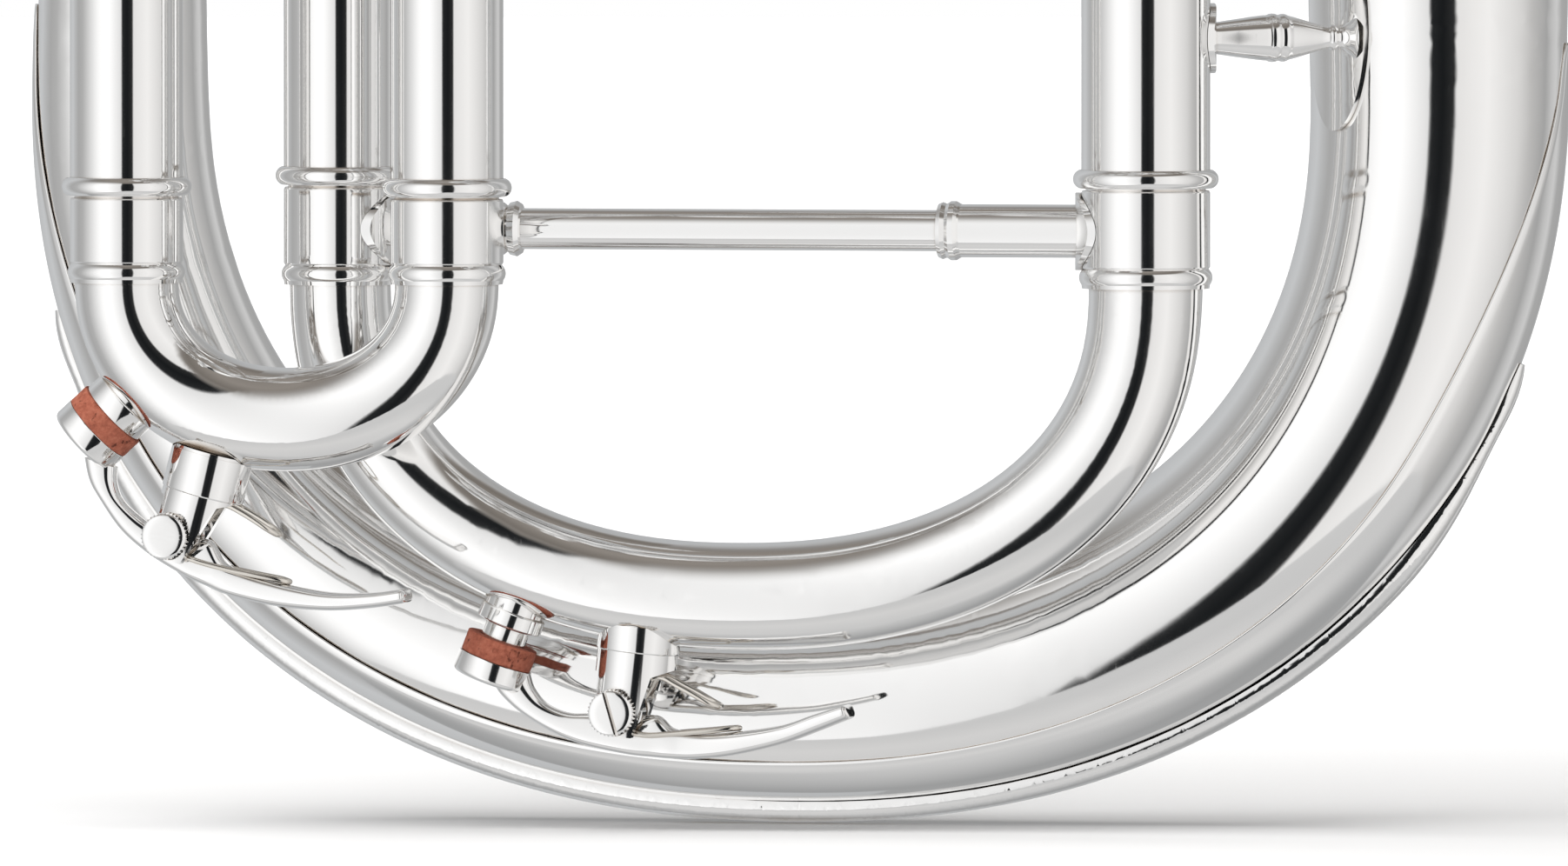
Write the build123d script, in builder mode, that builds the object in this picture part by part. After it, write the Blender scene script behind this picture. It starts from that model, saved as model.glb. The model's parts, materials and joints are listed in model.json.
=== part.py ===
"""Small tuba with three piston valves, a bell that points up and two tuning slides with water keys.

Millimetres. +Z points along the bell, +X from the narrow leg of the bottom bow to its wide leg, and
-Y is the side of the slides and valves. The origin is under the bottom bow, at the level of its rail.
"""

import os
from math import atan2, cos, degrees, hypot, pi, radians, sin

from build123d import *

# ---------------------------------------------------------------- driving dimensions
# Bottom bow: a U in the plane Y = 0 whose centreline is half of a superellipse.
BOW_MID_X = -3.35
BOW_HALF_WIDTH = 99.8
BOW_DEPTH = 91.0
BOW_POWER = 2.24
BOW_SHOULDER_Z = 110.5       # where the curved part starts on both legs
BOW_TOP_Z = 150.0            # where the bow meets the bell and the left branch
BOW_R_LEFT = 12.05           # outer radius at the narrow end
BOW_R_RIGHT = 19.85          # outer radius at the bell end
BOW_LENGTH = 344.0           # of the centreline, with both straight legs
BOW_ARC = 264.0              # of its curved part
SHEET = 0.6                  # wall of the bow, branches, crooks and guard
SOLDER = 0.05                # film between parts that are soldered together
GUARD_WRAP = 51.0            # half angle of the tube that the guard plate covers, degrees
RAIL_HEIGHT = 2.85
RAIL_HALF_WIDTH = 3.6

# Main tuning slide: legs B (narrow) and D (wide) in the plane Y = MAIN_Y.
MAIN_Y = -29.0
LEG_B_X = -64.34
LEG_D_X = 57.10
MAIN_RING_Z = 97.2           # middle of the stop rings on the fixed tubes
MAIN_SHOULDER_Z = 81.0       # lower end of the ferrules, where the crook comes out
MAIN_BOTTOM_Z = 34.9         # lowest point of the crook's centreline
MAIN_POWER = 2.22
CROOK_R_B = 7.5
CROOK_R_D = 8.45
BRACE_Z = 89.4

# Third valve slide: legs A and C in the plane Y = THIRD_Y.
THIRD_Y = -46.5
LEG_A_X = -93.24
LEG_C_X = -44.91
THIRD_RING_Z = 95.9
THIRD_SHOULDER_Z = 81.6
THIRD_BOTTOM_Z = 61.4
THIRD_POWER = 2.1
CROOK_R_THIRD = 7.7

# Slide tubes: outer radii of the fixed tube and of the tube that runs inside it.
NARROW_FIXED_R = 8.4
NARROW_INNER_R = 7.75
WIDE_FIXED_R = 9.55
WIDE_INNER_R = 8.9
RUN = 0.05                   # running clearance, radial
RING_HEIGHT = 2.7
RING_STAND = 1.25            # how far a stop ring stands out from its tube
SLIDE_REACH = 72.0           # how far an inner slide tube goes up past its stop ring
FERRULE_LIP = 2.2

# Valves, in a row along X.
VALVE_Y = -52.0
VALVE_X = (38.0, 8.0, -22.0)             # valves 1, 2 and 3
CASING_R = 12.7
CASING_BORE_R = 11.5
PISTON_R = 11.45
CASING_Z = (215.0, 365.0)
PISTON_Z = (250.0, 345.0)
STEM_R = 3.0
BUTTON_Z = 397.0
VALVE_TRAVEL = 17.0
PORT_Z = (262.0, 286.0, 310.0)
PORT_R = 6.3
KNUCKLE_R = 7.6
KNUCKLE_BEND = 11.5

# Bell, branches and top bow.
BELL_X = BOW_MID_X + BOW_HALF_WIDTH
LEFT_X = BOW_MID_X - BOW_HALF_WIDTH
BELL_PROFILE = ((19.9, 150.5), (22.2, 210), (28.5, 330), (38, 430), (53, 510), (75, 570), (104, 612), (140, 640))
BELL_WALL = 0.7
BRANCH_TOP_Z = 330.0
LEFT_BRANCH_R = 10.9         # at its top
RIGHT_BRANCH_R = 10.2        # at its top
OUTLET_TOP_Z = 209.0

# Water keys, each in its own frame: t runs along the lever, w away from the crook.
CORK_R = 5.85
CORK_HEIGHT = 3.2
CUP_R = 5.6
CUP_HEIGHT = 3.4
SEAT_R = 5.45
SEAT_HEIGHT = 1.6
NECK_R = 3.3
DRAIN_R = 2.2
PIVOT_T = 18.3
PIVOT_W = 3.8
LEVER_HALF = 2.0
SLOT_HALF = 3.3
POST_R = 6.0
SCREW_R = 1.25
HEAD_R = 3.2
HEAD_HEIGHT = 2.7
FACE = 4.3                   # distance of the screw head's seat from the slide's plane
WIRE_R = 0.45
COIL_R = 2.6
COIL_SIDE = 2.6             # distance of each spring coil from the slide's plane

os.makedirs("parts", exist_ok=True)


# ---------------------------------------------------------------- helpers
def save(builder, name):
    """Label a finished sub-part and write it as one STEP file."""
    builder.part.label = name
    export_step(builder.part, f"parts/{name}.step")


def u_curve(mid_x, half_width, shoulder_z, depth, power, angle):
    """Point and direction of travel on a U from its left leg (angle 0) to its right leg (180)."""
    a = radians(angle)
    c, s = cos(a), sin(a)
    x = mid_x - half_width * (1 if c >= 0 else -1) * abs(c) ** (2 / power)
    z = shoulder_z - depth * abs(s) ** (2 / power)
    # The gradient of the superellipse is its outward normal.
    gx = (x - mid_x) / half_width
    gz = (z - shoulder_z) / depth
    nx = (1 if gx >= 0 else -1) * abs(gx) ** (power - 1) / half_width
    nz = -abs(gz) ** (power - 1) / depth
    size = hypot(nx, nz)
    nx, nz = nx / size, nz / size
    return (x, z), (-nz, nx), (nx, nz)


def u_stations(curve, y, r_start, r_end, leg_start=0.0, leg_end=0.0, steps=16):
    """Planes and radii along a U, with straight legs above both shoulders, evenly tapered."""
    places = []
    mid_x, half_width, shoulder_z = curve[0], curve[1], curve[2]
    spans = 3 if leg_start > 10 else 1
    for part in range(spans if leg_start else 0):
        places.append(((mid_x - half_width, shoulder_z + leg_start * (1 - part / spans)), (0, -1)))
    for step in range(steps + 1):
        point, tangent, _ = u_curve(*curve, 180 * step / steps)
        places.append((point, tangent))
    for part in range(1, spans + 1 if leg_end else 1):
        places.append(((mid_x + half_width, shoulder_z + leg_end * part / spans), (0, 1)))
    run = [0.0]
    for before, after in zip(places, places[1:]):
        run.append(run[-1] + hypot(after[0][0] - before[0][0], after[0][1] - before[0][1]))
    stations = []
    for (point, tangent), length in zip(places, run):
        plane = Plane(origin=(point[0], y, point[1]), x_dir=(0, 1, 0), z_dir=(tangent[0], 0, tangent[1]))
        stations.append((plane, r_start + (r_end - r_start) * length / run[-1]))
    return stations


def tapered_solid(stations, extra=0.0):
    """Solid through circles at the stations, each grown by extra."""
    with BuildPart() as solid:
        for plane, radius in stations:
            with BuildSketch(plane):
                Circle(radius + extra)
        loft()
    return solid.part


def tapered_tube(stations, wall):
    """Hollow tube through circles at the stations."""
    with BuildPart() as tube:
        add(tapered_solid(stations))
        add(tapered_solid(stations, -wall), mode=Mode.SUBTRACT)
    return tube.part


def straight_tube(x, y, z_low, z_high, radius, wall, top_radius=None):
    """Upright round tube, or an upright cone where the top radius differs."""
    top = radius if top_radius is None else top_radius
    with BuildPart() as tube:
        with BuildSketch(Plane.XZ.offset(-y)):
            with BuildLine():
                Polyline((x + radius, z_low), (x + top, z_high), (x + top - wall, z_high),
                         (x + radius - wall, z_low), close=True)
            make_face()
        revolve(axis=Axis((x, y, 0), (0, 0, 1)))
    return tube.part


def cylinder(start, direction, length, radius):
    """Solid cylinder from a point along a direction."""
    with BuildPart() as solid:
        with BuildSketch(Plane(origin=start, z_dir=direction)):
            Circle(radius)
        extrude(amount=length)
    return solid.part


def swept_tube(path, radius, wall):
    """Round tube of constant section along a path of lines and tangent arcs."""
    with BuildPart() as tube:
        with BuildSketch(path ^ 0):
            Circle(radius)
            if wall:
                Circle(radius - wall, mode=Mode.SUBTRACT)
        sweep(path=path)
    return tube.part


def elbow(leg_x, leg_y, z_from, z_to, valve_x, reach=1.5):
    """Tube that leaves a leg upwards, turns and runs level into the side of a valve casing."""
    run = hypot(valve_x - leg_x, VALVE_Y - leg_y)
    dx, dy = (valve_x - leg_x) / run, (VALVE_Y - leg_y) / run
    end = run - CASING_R + reach
    with BuildLine() as route:
        FilletPolyline(
            (leg_x, leg_y, z_from), (leg_x, leg_y, z_to), (leg_x + dx * end, leg_y + dy * end, z_to),
            radius=KNUCKLE_BEND)
    return swept_tube(route.wire(), KNUCKLE_R, SHEET)


def stop_ring(x, y, z, tube_radius):
    """Rounded stop ring on the end of a fixed slide tube."""
    with BuildPart() as ring:
        with BuildSketch(Plane.XZ.offset(-y)):
            with BuildLine():
                low, high = z - RING_HEIGHT / 2, z + RING_HEIGHT / 2
                inner = x + tube_radius + SOLDER
                Polyline((x + tube_radius + 0.35, low), (inner, low), (inner, high), (x + tube_radius + 0.35, high))
                ThreePointArc((x + tube_radius + 0.35, high), (x + tube_radius + RING_STAND, z),
                              (x + tube_radius + 0.35, low))
            make_face()
        revolve(axis=Axis((x, y, 0), (0, 0, 1)))
    return ring.part


def slide_ferrule(x, y, z_low, z_high, fixed_r, inner_r, crook_r):
    """Ferrule of a slide leg: it holds the inner tube above and the end of the crook below."""
    bead_z = z_low + 1.6
    with BuildPart() as ferrule:
        with BuildSketch(Plane.XZ.offset(-y)):
            with BuildLine():
                Polyline(
                    (x + fixed_r - 0.1, z_low), (x + crook_r + SOLDER, z_low),
                    (x + crook_r + SOLDER, z_low + FERRULE_LIP), (x + inner_r + SOLDER, z_low + FERRULE_LIP),
                    (x + inner_r + SOLDER, z_high), (x + fixed_r - 0.15, z_high), (x + fixed_r, z_high - 0.3),
                    (x + fixed_r, bead_z + 1.6), (x + fixed_r - 0.22, bead_z + 1.3), (x + fixed_r, bead_z + 1.0))
                ThreePointArc((x + fixed_r, bead_z + 1.0), (x + fixed_r + 0.35, bead_z), (x + fixed_r, bead_z - 1.0))
                Line((x + fixed_r, bead_z - 1.0), (x + fixed_r - 0.1, z_low))
            make_face()
        revolve(axis=Axis((x, y, 0), (0, 0, 1)))
    return ferrule.part


def turned(start, direction, profile):
    """Solid of revolution about a line; profile lists (distance along the line, radius)."""
    upwards = abs(direction[2]) > 0.9
    across = Vector(0, 1, 0) if upwards else Vector(*direction).cross(Vector(0, 0, 1))
    with BuildPart() as solid:
        with BuildSketch(Plane(origin=start, x_dir=direction, z_dir=across)):
            with BuildLine():
                Polyline((profile[0][0], 0), *profile, (profile[-1][0], 0), close=True)
            make_face()
        revolve(axis=Axis(start, direction))
    return solid.part


def saddle(tube_outer, tube_thick, start, direction, length, pad_r, stretch=1.0):
    """Thin curved pad on a tube, cut from a skin around it by an oval prism along a stay."""
    with BuildPart() as pad:
        add(tube_thick)
        add(tube_outer, mode=Mode.SUBTRACT)
        with BuildSketch(Plane(origin=start, x_dir=(0, 0, 1), z_dir=direction)):
            Ellipse(pad_r * stretch, pad_r)
        extrude(amount=length, mode=Mode.INTERSECT)
    return pad.part


def upright(x, y, z_low, z_high, radius):
    """Solid upright cylinder."""
    return cylinder((x, y, z_low), (0, 0, 1), z_high - z_low, radius)


# ---------------------------------------------------------------- bottom bow, guard and rail
BOW_CURVE = (BOW_MID_X, BOW_HALF_WIDTH, BOW_SHOULDER_Z, BOW_DEPTH, BOW_POWER)
BOW_LEG = BOW_TOP_Z - BOW_SHOULDER_Z
bow_stations = u_stations(BOW_CURVE, 0, BOW_R_LEFT, BOW_R_RIGHT, BOW_LEG, BOW_LEG, steps=24)

with BuildPart() as bottom_bow:
    add(tapered_tube(bow_stations, SHEET))
save(bottom_bow, "bottom_bow")


def bow_place(angle):
    """Point of the bow's centreline, its outward normal and the bow's radius there."""
    point, _, normal = u_curve(*BOW_CURVE, angle)
    radius = BOW_R_LEFT + (BOW_R_RIGHT - BOW_R_LEFT) * (BOW_LEG + (angle / 180) * BOW_ARC) / BOW_LENGTH
    return point, normal, radius


def guard_edge(angle, tip_low, tip_high):
    """Point where the guard plate's edge lies, seen square to the bow's plane."""
    reach = min((angle - tip_low) / 34, (tip_high - angle) / 34, 1.0)
    wrap = GUARD_WRAP * (1 - (1 - max(reach, 0.0)) ** 2.3)
    point, normal, radius = bow_place(angle)
    lift = (radius + SHEET) * cos(radians(wrap))
    return (point[0] + normal[0] * lift, point[1] + normal[1] * lift)


GUARD_TIP_LEFT_Z = 122.0
GUARD_TIP_RIGHT_Z = 117.0
guard_angles = [2, 8, 15, 24, 34, 50, 70, 90, 110, 130, 146, 156, 165, 172, 178]
with BuildPart() as bow_guard:
    add(tapered_solid(bow_stations, SOLDER + SHEET))
    add(tapered_solid(bow_stations, SOLDER), mode=Mode.SUBTRACT)
    with BuildSketch(Plane.XZ):
        with BuildLine():
            edge = [guard_edge(angle, -6, 183) for angle in guard_angles]
            left_tip = (LEFT_X - BOW_R_LEFT - 0.3, GUARD_TIP_LEFT_Z)
            right_tip = (BELL_X + BOW_R_RIGHT - 0.9, GUARD_TIP_RIGHT_Z)
            Spline(left_tip, *edge, right_tip)
            Polyline(right_tip, (160, GUARD_TIP_RIGHT_Z + 1), (160, -20), (-160, -20),
                     (-160, GUARD_TIP_LEFT_Z + 1), left_tip)
        make_face()
    extrude(amount=60, both=True, mode=Mode.INTERSECT)
save(bow_guard, "bow_guard")

RAIL_ANGLES = (17.0, 160.0)
with BuildPart() as guard_rail:
    rail_steps = 24
    for step in range(rail_steps + 1):
        angle = RAIL_ANGLES[0] + (RAIL_ANGLES[1] - RAIL_ANGLES[0]) * step / rail_steps
        point, normal, radius = bow_place(angle)
        _, tangent, _ = u_curve(*BOW_CURVE, angle)
        share = min(step, rail_steps - step) / 3
        grow = 0.25 + 0.75 * min(share, 1.0)
        lift = radius + SHEET + SOLDER
        rail_plane = Plane(
            origin=(point[0] + normal[0] * lift, 0, point[1] + normal[1] * lift),
            x_dir=(0, 1, 0), z_dir=(tangent[0], 0, tangent[1]))
        with BuildSketch(rail_plane):
            Ellipse(RAIL_HALF_WIDTH * grow, RAIL_HEIGHT * grow)
    loft()
    add(tapered_solid(bow_stations, 2 * SOLDER + SHEET), mode=Mode.SUBTRACT)
save(guard_rail, "guard_rail")


# ---------------------------------------------------------------- tuning slide crooks
MAIN_CURVE = ((LEG_B_X + LEG_D_X) / 2, (LEG_D_X - LEG_B_X) / 2, MAIN_SHOULDER_Z,
              MAIN_SHOULDER_Z - MAIN_BOTTOM_Z, MAIN_POWER)
THIRD_CURVE = ((LEG_A_X + LEG_C_X) / 2, (LEG_C_X - LEG_A_X) / 2, THIRD_SHOULDER_Z,
               THIRD_SHOULDER_Z - THIRD_BOTTOM_Z, THIRD_POWER)
main_stations = u_stations(MAIN_CURVE, MAIN_Y, CROOK_R_B, CROOK_R_D, FERRULE_LIP, FERRULE_LIP)
third_stations = u_stations(THIRD_CURVE, THIRD_Y, CROOK_R_THIRD, CROOK_R_THIRD, FERRULE_LIP, FERRULE_LIP)


class Key:
    """Frame of a water key: where its seat stands on the crook, and where its pivot is."""

    def __init__(self, curve, y, crook_r, seat_angle, post_tilt, neck, post_offset, twist=0.0):
        """Angles in degrees; twist turns the seat's axis away from the crook's own normal."""
        point, _, normal = u_curve(*curve, seat_angle)
        foot = (point[0] + normal[0] * crook_r, y, point[1] + normal[1] * crook_r)
        c, s = cos(radians(twist)), sin(radians(twist))
        normal = (normal[0] * c - normal[1] * s, normal[0] * s + normal[1] * c)
        self.y = y
        self.w = (normal[0], 0, normal[1])
        self.t = (-normal[1], 0, normal[0])
        self.foot = foot
        self.neck = neck
        self.post_offset = post_offset
        self.cork_middle = SEAT_HEIGHT + neck + CORK_HEIGHT / 2
        self.pivot = self.at(PIVOT_T, self.cork_middle + PIVOT_W)
        tilt = radians(post_tilt)
        self.post_w = (-sin(tilt), 0, -cos(tilt))
        self.post_t = (cos(tilt), 0, -sin(tilt))

    def at(self, t, w, side=0.0):
        """Point in the row frame from distances along the lever and away from the crook."""
        return (self.foot[0] + self.t[0] * t + self.w[0] * w, self.y + side,
                self.foot[2] + self.t[2] * t + self.w[2] * w)

    def by_pivot(self, t, w, side=0.0):
        """Point from distances measured from the pivot in the bracket's own directions."""
        return (self.pivot[0] + self.post_t[0] * t + self.post_w[0] * w, self.y + side,
                self.pivot[2] + self.post_t[2] * t + self.post_w[2] * w)


MAIN_SEAT_CROOK_R = 7.75     # outer radius of the tapered crook at its water key
main_key = Key(MAIN_CURVE, MAIN_Y, MAIN_SEAT_CROOK_R, 62.0, 6.0, 3.5, post_offset=1.8, twist=6.0)
third_key = Key(THIRD_CURVE, THIRD_Y, CROOK_R_THIRD, 40.0, 15.0, 1.1, post_offset=2.6)

# Lever outlines about the cork's middle: outer edge from cup to tip, then inner edge back.
MAIN_LEVER = (
    ((0.5, 4.9), (5.5, 8.6), (12.4, 10.1), (21.4, 9.9), (31.8, 7.9), (40.1, 5.1), (47.7, 0.3), (54.1, -4.7)),
    ((53.1, -5.8), (48.6, -3.1), (43.3, 0.4), (37.3, 3.2), (30.1, 4.1), (23.7, 2.6), (18.3, 0.8),
     (14.6, 4.0), (10.5, 6.3), (7.4, 4.9), (5.1, 2.5)))
THIRD_LEVER = (
    ((1.2, 4.9), (6.5, 8.2), (12.7, 9.4), (23.5, 7.3), (34.9, 1.3), (40.7, -3.5), (46.6, -11.2), (50.6, -17.6)),
    ((49.0, -18.0), (44.1, -11.9), (38.4, -6.3), (33.5, -2.6), (28.5, -0.6), (23.4, 0.1), (18.3, 0.2),
     (15.3, 4.2), (12.0, 6.3), (8.2, 5.0), (6.1, 2.4)))


def key_seat(key, crook_solid):
    """Round foot on the crook with a short drain nipple that the cork closes."""
    with BuildPart() as seat:
        add(cylinder(key.at(0, -3.6), key.w, 3.6 + SEAT_HEIGHT, SEAT_R))
        add(cylinder(key.at(0, 0), key.w, SEAT_HEIGHT + key.neck, NECK_R))
        add(crook_solid, mode=Mode.SUBTRACT)
        add(cylinder(key.at(0, -5), key.w, 15, DRAIN_R), mode=Mode.SUBTRACT)
    return seat


def key_bracket(key, crook_solid):
    """Round post on the crook, slotted for the lever, with two ears that carry the pivot screw."""
    post_foot = -13.5
    cut_w = -5.7
    with BuildPart() as bracket:
        add(cylinder(key.by_pivot(key.post_offset, post_foot), key.post_w, 3.5 - post_foot, POST_R))
        add(crook_solid, mode=Mode.SUBTRACT)
        frame = Plane(origin=key.by_pivot(0, 0), x_dir=key.post_t, z_dir=(0, -1, 0))
        with BuildSketch(frame.offset(-SLOT_HALF)):
            with Locations((0, -cut_w - 10)):
                Rectangle(40, 20)
        extrude(amount=2 * SLOT_HALF, mode=Mode.SUBTRACT)
        with BuildSketch(frame.offset(-10)):
            with BuildLine():
                Polyline((key.post_offset + 3.2, -cut_w), (key.post_offset + 8, -cut_w + 2.2),
                         (key.post_offset + 8, -6), (1.8, -6), (3.0, -3.5), close=True)
            make_face()
            with BuildLine():
                Polyline((-6, -1.6), (-3.2, -1.6), (-2.6, -2.5), (-1.2, -3.3), (0, -3.5), (1.4, -3.5), (1.4, -6),
                         (-6, -6), close=True)
            make_face()
        extrude(amount=20, mode=Mode.SUBTRACT)
        add(cylinder(key.by_pivot(0, 0, -FACE), (0, -1, 0), 10, HEAD_R + 0.15), mode=Mode.SUBTRACT)
        add(cylinder(key.by_pivot(0, 0, 12), (0, -1, 0), 24, SCREW_R + 0.02), mode=Mode.SUBTRACT)
    return bracket


def key_screw(key, slot_angle):
    """Pivot screw with a flat round head and a driver slot."""
    with BuildPart() as screw:
        add(cylinder(key.by_pivot(0, 0, -FACE), (0, -1, 0), HEAD_HEIGHT, HEAD_R))
        chamfer(screw.edges().group_by(Axis.Y)[0], 0.3)
        add(cylinder(key.by_pivot(0, 0, -FACE), (0, 1, 0), FACE + 4.6, SCREW_R))
        slot_frame = Plane(origin=key.by_pivot(0, 0, -FACE - HEAD_HEIGHT), x_dir=(1, 0, 0), z_dir=(0, -1, 0))
        with BuildSketch(slot_frame.rotated((0, 0, slot_angle))):
            Rectangle(2 * HEAD_R + 1, 0.6)
        extrude(amount=-0.9, mode=Mode.SUBTRACT)
    return screw


def key_lever(key, outline):
    """Curved lever with a cup at one end and a barrel on the pivot screw."""
    outer, inner = outline
    middle = Plane(origin=key.at(0, key.cork_middle), x_dir=key.t, z_dir=Vector(*key.t).cross(Vector(*key.w)))
    with BuildPart() as lever:
        with BuildSketch(middle.offset(-LEVER_HALF)):
            with BuildLine():
                Spline(*outer)
                Spline(*inner)
                Line(outer[-1], inner[0])
                Line(inner[-1], outer[0])
            make_face()
        extrude(amount=2 * LEVER_HALF)
        add(cylinder(key.by_pivot(0, 0, -LEVER_HALF), (0, 1, 0), 2 * LEVER_HALF, 3.7))
        add(cylinder(key.by_pivot(0, 0, -SLOT_HALF + 0.2), (0, 1, 0), 2 * SLOT_HALF - 0.4, COIL_R - WIRE_R - 0.15))
        cup_top = key.cork_middle + CORK_HEIGHT / 2
        add(cylinder(key.at(0, cup_top), key.w, CUP_HEIGHT, CUP_R))
        add(cylinder(key.by_pivot(0, 0, -8), (0, 1, 0), 16, SCREW_R + RUN), mode=Mode.SUBTRACT)
    return lever


def key_cork(key):
    """Cork disc that closes the drain nipple."""
    with BuildPart() as cork:
        add(cylinder(key.at(0, SEAT_HEIGHT + key.neck), key.w, CORK_HEIGHT, CORK_R))
        fillet(cork.edges(), 0.35)
    return cork


def key_spring(key):
    """Wire spring: a coil each side of the lever, a hairpin under the crook and two arms on the lever."""
    with BuildPart() as spring:
        for side in (-COIL_SIDE, COIL_SIDE):
            with BuildSketch(Plane(origin=key.by_pivot(0, 0, side - WIRE_R), z_dir=(0, 1, 0))):
                Circle(COIL_R + WIRE_R)
                Circle(COIL_R - WIRE_R, mode=Mode.SUBTRACT)
            extrude(amount=2 * WIRE_R)
            with BuildLine() as upper:
                FilletPolyline(key.by_pivot(1.7, -1.9, side), key.by_pivot(4.4, -5.0, side),
                               key.by_pivot(7.6, -5.0, side), key.by_pivot(14.6, -2.2, side), radius=1.2)
            add(swept_tube(upper.wire(), WIRE_R * 0.98, 0))
            with BuildLine() as lower:
                FilletPolyline(key.by_pivot(0.5, COIL_R - 0.1, side), key.by_pivot(5.0, 3.4, side),
                               key.by_pivot(18.3, 2.7, side), radius=6)
            add(swept_tube(lower.wire(), WIRE_R * 0.98, 0))
        ends = [Vector(*key.by_pivot(14.2, -2.36, side)) for side in (-COIL_SIDE, COIL_SIDE)]
        add(cylinder(ends[0] - Vector(0, WIRE_R, 0), (0, 1, 0), 2 * COIL_SIDE + 2 * WIRE_R, WIRE_R * 1.05))
    return spring


# ---------------------------------------------------------------- main tuning slide
main_solid = tapered_solid(main_stations, SOLDER)
third_solid = tapered_solid(third_stations, SOLDER)

with BuildPart() as main_slide_crook:
    add(tapered_tube(main_stations, SHEET))
    add(cylinder(main_key.at(0, -5), main_key.w, 15, DRAIN_R), mode=Mode.SUBTRACT)
save(main_slide_crook, "main_slide_crook")

MAIN_FERRULE_TOP = MAIN_RING_Z - RING_HEIGHT / 2 - 0.35
THIRD_FERRULE_TOP = THIRD_RING_Z - RING_HEIGHT / 2 - 0.35
with BuildPart() as main_slide_ferrules:
    add(slide_ferrule(LEG_B_X, MAIN_Y, MAIN_SHOULDER_Z, MAIN_FERRULE_TOP, NARROW_FIXED_R, NARROW_INNER_R, CROOK_R_B))
    add(slide_ferrule(LEG_D_X, MAIN_Y, MAIN_SHOULDER_Z, MAIN_FERRULE_TOP, WIDE_FIXED_R, WIDE_INNER_R, CROOK_R_D))
save(main_slide_ferrules, "main_slide_ferrules")

main_inner_low = MAIN_SHOULDER_Z + FERRULE_LIP + 0.1
with BuildPart() as main_slide_inner_tubes:
    add(straight_tube(LEG_B_X, MAIN_Y, main_inner_low, MAIN_RING_Z + SLIDE_REACH, NARROW_INNER_R, SHEET))
    add(straight_tube(LEG_D_X, MAIN_Y, main_inner_low, MAIN_RING_Z + SLIDE_REACH, WIDE_INNER_R, SHEET))
save(main_slide_inner_tubes, "main_slide_inner_tubes")

# Brace between the two ferrules: a rod, turned sockets at both ends and curved pads on the ferrules.
brace_span = LEG_D_X - LEG_B_X
brace_start = (LEG_B_X, MAIN_Y, BRACE_Z)
SOCKET_END = 11.2            # socket's inner end, measured from the axis of leg D
ROD_R = 3.05
with BuildPart() as main_slide_brace_rod:
    add(turned(brace_start, (1, 0, 0), (
        (NARROW_FIXED_R + 1.0, 3.0), (23.6, 3.0), (24.0, 3.75), (24.8, 3.9), (25.4, 3.4), (25.8, 3.9), (26.8, 4.15),
        (27.5, 3.7), (27.7, ROD_R), (brace_span - 28.2, ROD_R))))
save(main_slide_brace_rod, "main_slide_brace_rod")

ferrule_b = upright(LEG_B_X, MAIN_Y, 70, 110, NARROW_FIXED_R + SOLDER)
ferrule_b_thick = upright(LEG_B_X, MAIN_Y, 70, 110, NARROW_FIXED_R + 0.9)
ferrule_d = upright(LEG_D_X, MAIN_Y, 70, 110, WIDE_FIXED_R + SOLDER)
ferrule_d_thick = upright(LEG_D_X, MAIN_Y, 70, 110, WIDE_FIXED_R + 0.9)
with BuildPart() as main_slide_brace_sockets:
    add(turned((LEG_D_X, MAIN_Y, BRACE_Z), (-1, 0, 0), (
        (WIDE_FIXED_R - 1.0, 3.95), (27.6, 3.95), (27.9, 4.1), (28.4, 4.4), (29.2, 4.4), (29.8, 4.0), (30.4, 4.25),
        (31.0, 4.0), (31.1, ROD_R + 0.4))))
    add(ferrule_d, mode=Mode.SUBTRACT)
    add(cylinder((0, MAIN_Y, BRACE_Z), (1, 0, 0), LEG_D_X - 28.0, ROD_R + SOLDER), mode=Mode.SUBTRACT)
    add(saddle(ferrule_d, ferrule_d_thick, (LEG_D_X, MAIN_Y, BRACE_Z), (-1, 0, 0), 30, 7.2, 0.8))
    add(saddle(ferrule_b, ferrule_b_thick, (LEG_B_X, MAIN_Y, BRACE_Z), (1, 0, 0), 30, 7.2, 0.8))
save(main_slide_brace_sockets, "main_slide_brace_sockets")


def save_key(key, crook_solid, outline, slot_angle, prefix):
    """Write the six pieces of one water key."""
    pieces = {
        "seat": key_seat(key, crook_solid),
        "bracket": key_bracket(key, crook_solid),
        "screw": key_screw(key, slot_angle),
        "spring": key_spring(key),
        "lever": key_lever(key, outline),
        "cork": key_cork(key),
    }
    for piece, builder in pieces.items():
        save(builder, f"{prefix}_{piece}")


save_key(main_key, main_solid, MAIN_LEVER, 70, "main_key")
save_key(third_key, third_solid, THIRD_LEVER, -12, "third_key")
print("main key pivot", main_key.pivot, "third key pivot", third_key.pivot)

# ---------------------------------------------------------------- third valve slide
with BuildPart() as third_slide_crook:
    add(tapered_tube(third_stations, SHEET))
    add(cylinder(third_key.at(0, -5), third_key.w, 15, DRAIN_R), mode=Mode.SUBTRACT)
save(third_slide_crook, "third_slide_crook")

with BuildPart() as third_slide_ferrules:
    for leg_x in (LEG_A_X, LEG_C_X):
        add(slide_ferrule(leg_x, THIRD_Y, THIRD_SHOULDER_Z, THIRD_FERRULE_TOP, NARROW_FIXED_R, NARROW_INNER_R,
                          CROOK_R_THIRD))
save(third_slide_ferrules, "third_slide_ferrules")

with BuildPart() as third_slide_inner_tubes:
    for leg_x in (LEG_A_X, LEG_C_X):
        add(straight_tube(leg_x, THIRD_Y, THIRD_SHOULDER_Z + FERRULE_LIP + 0.1, THIRD_RING_Z + SLIDE_REACH,
                          NARROW_INNER_R, SHEET))
save(third_slide_inner_tubes, "third_slide_inner_tubes")

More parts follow.
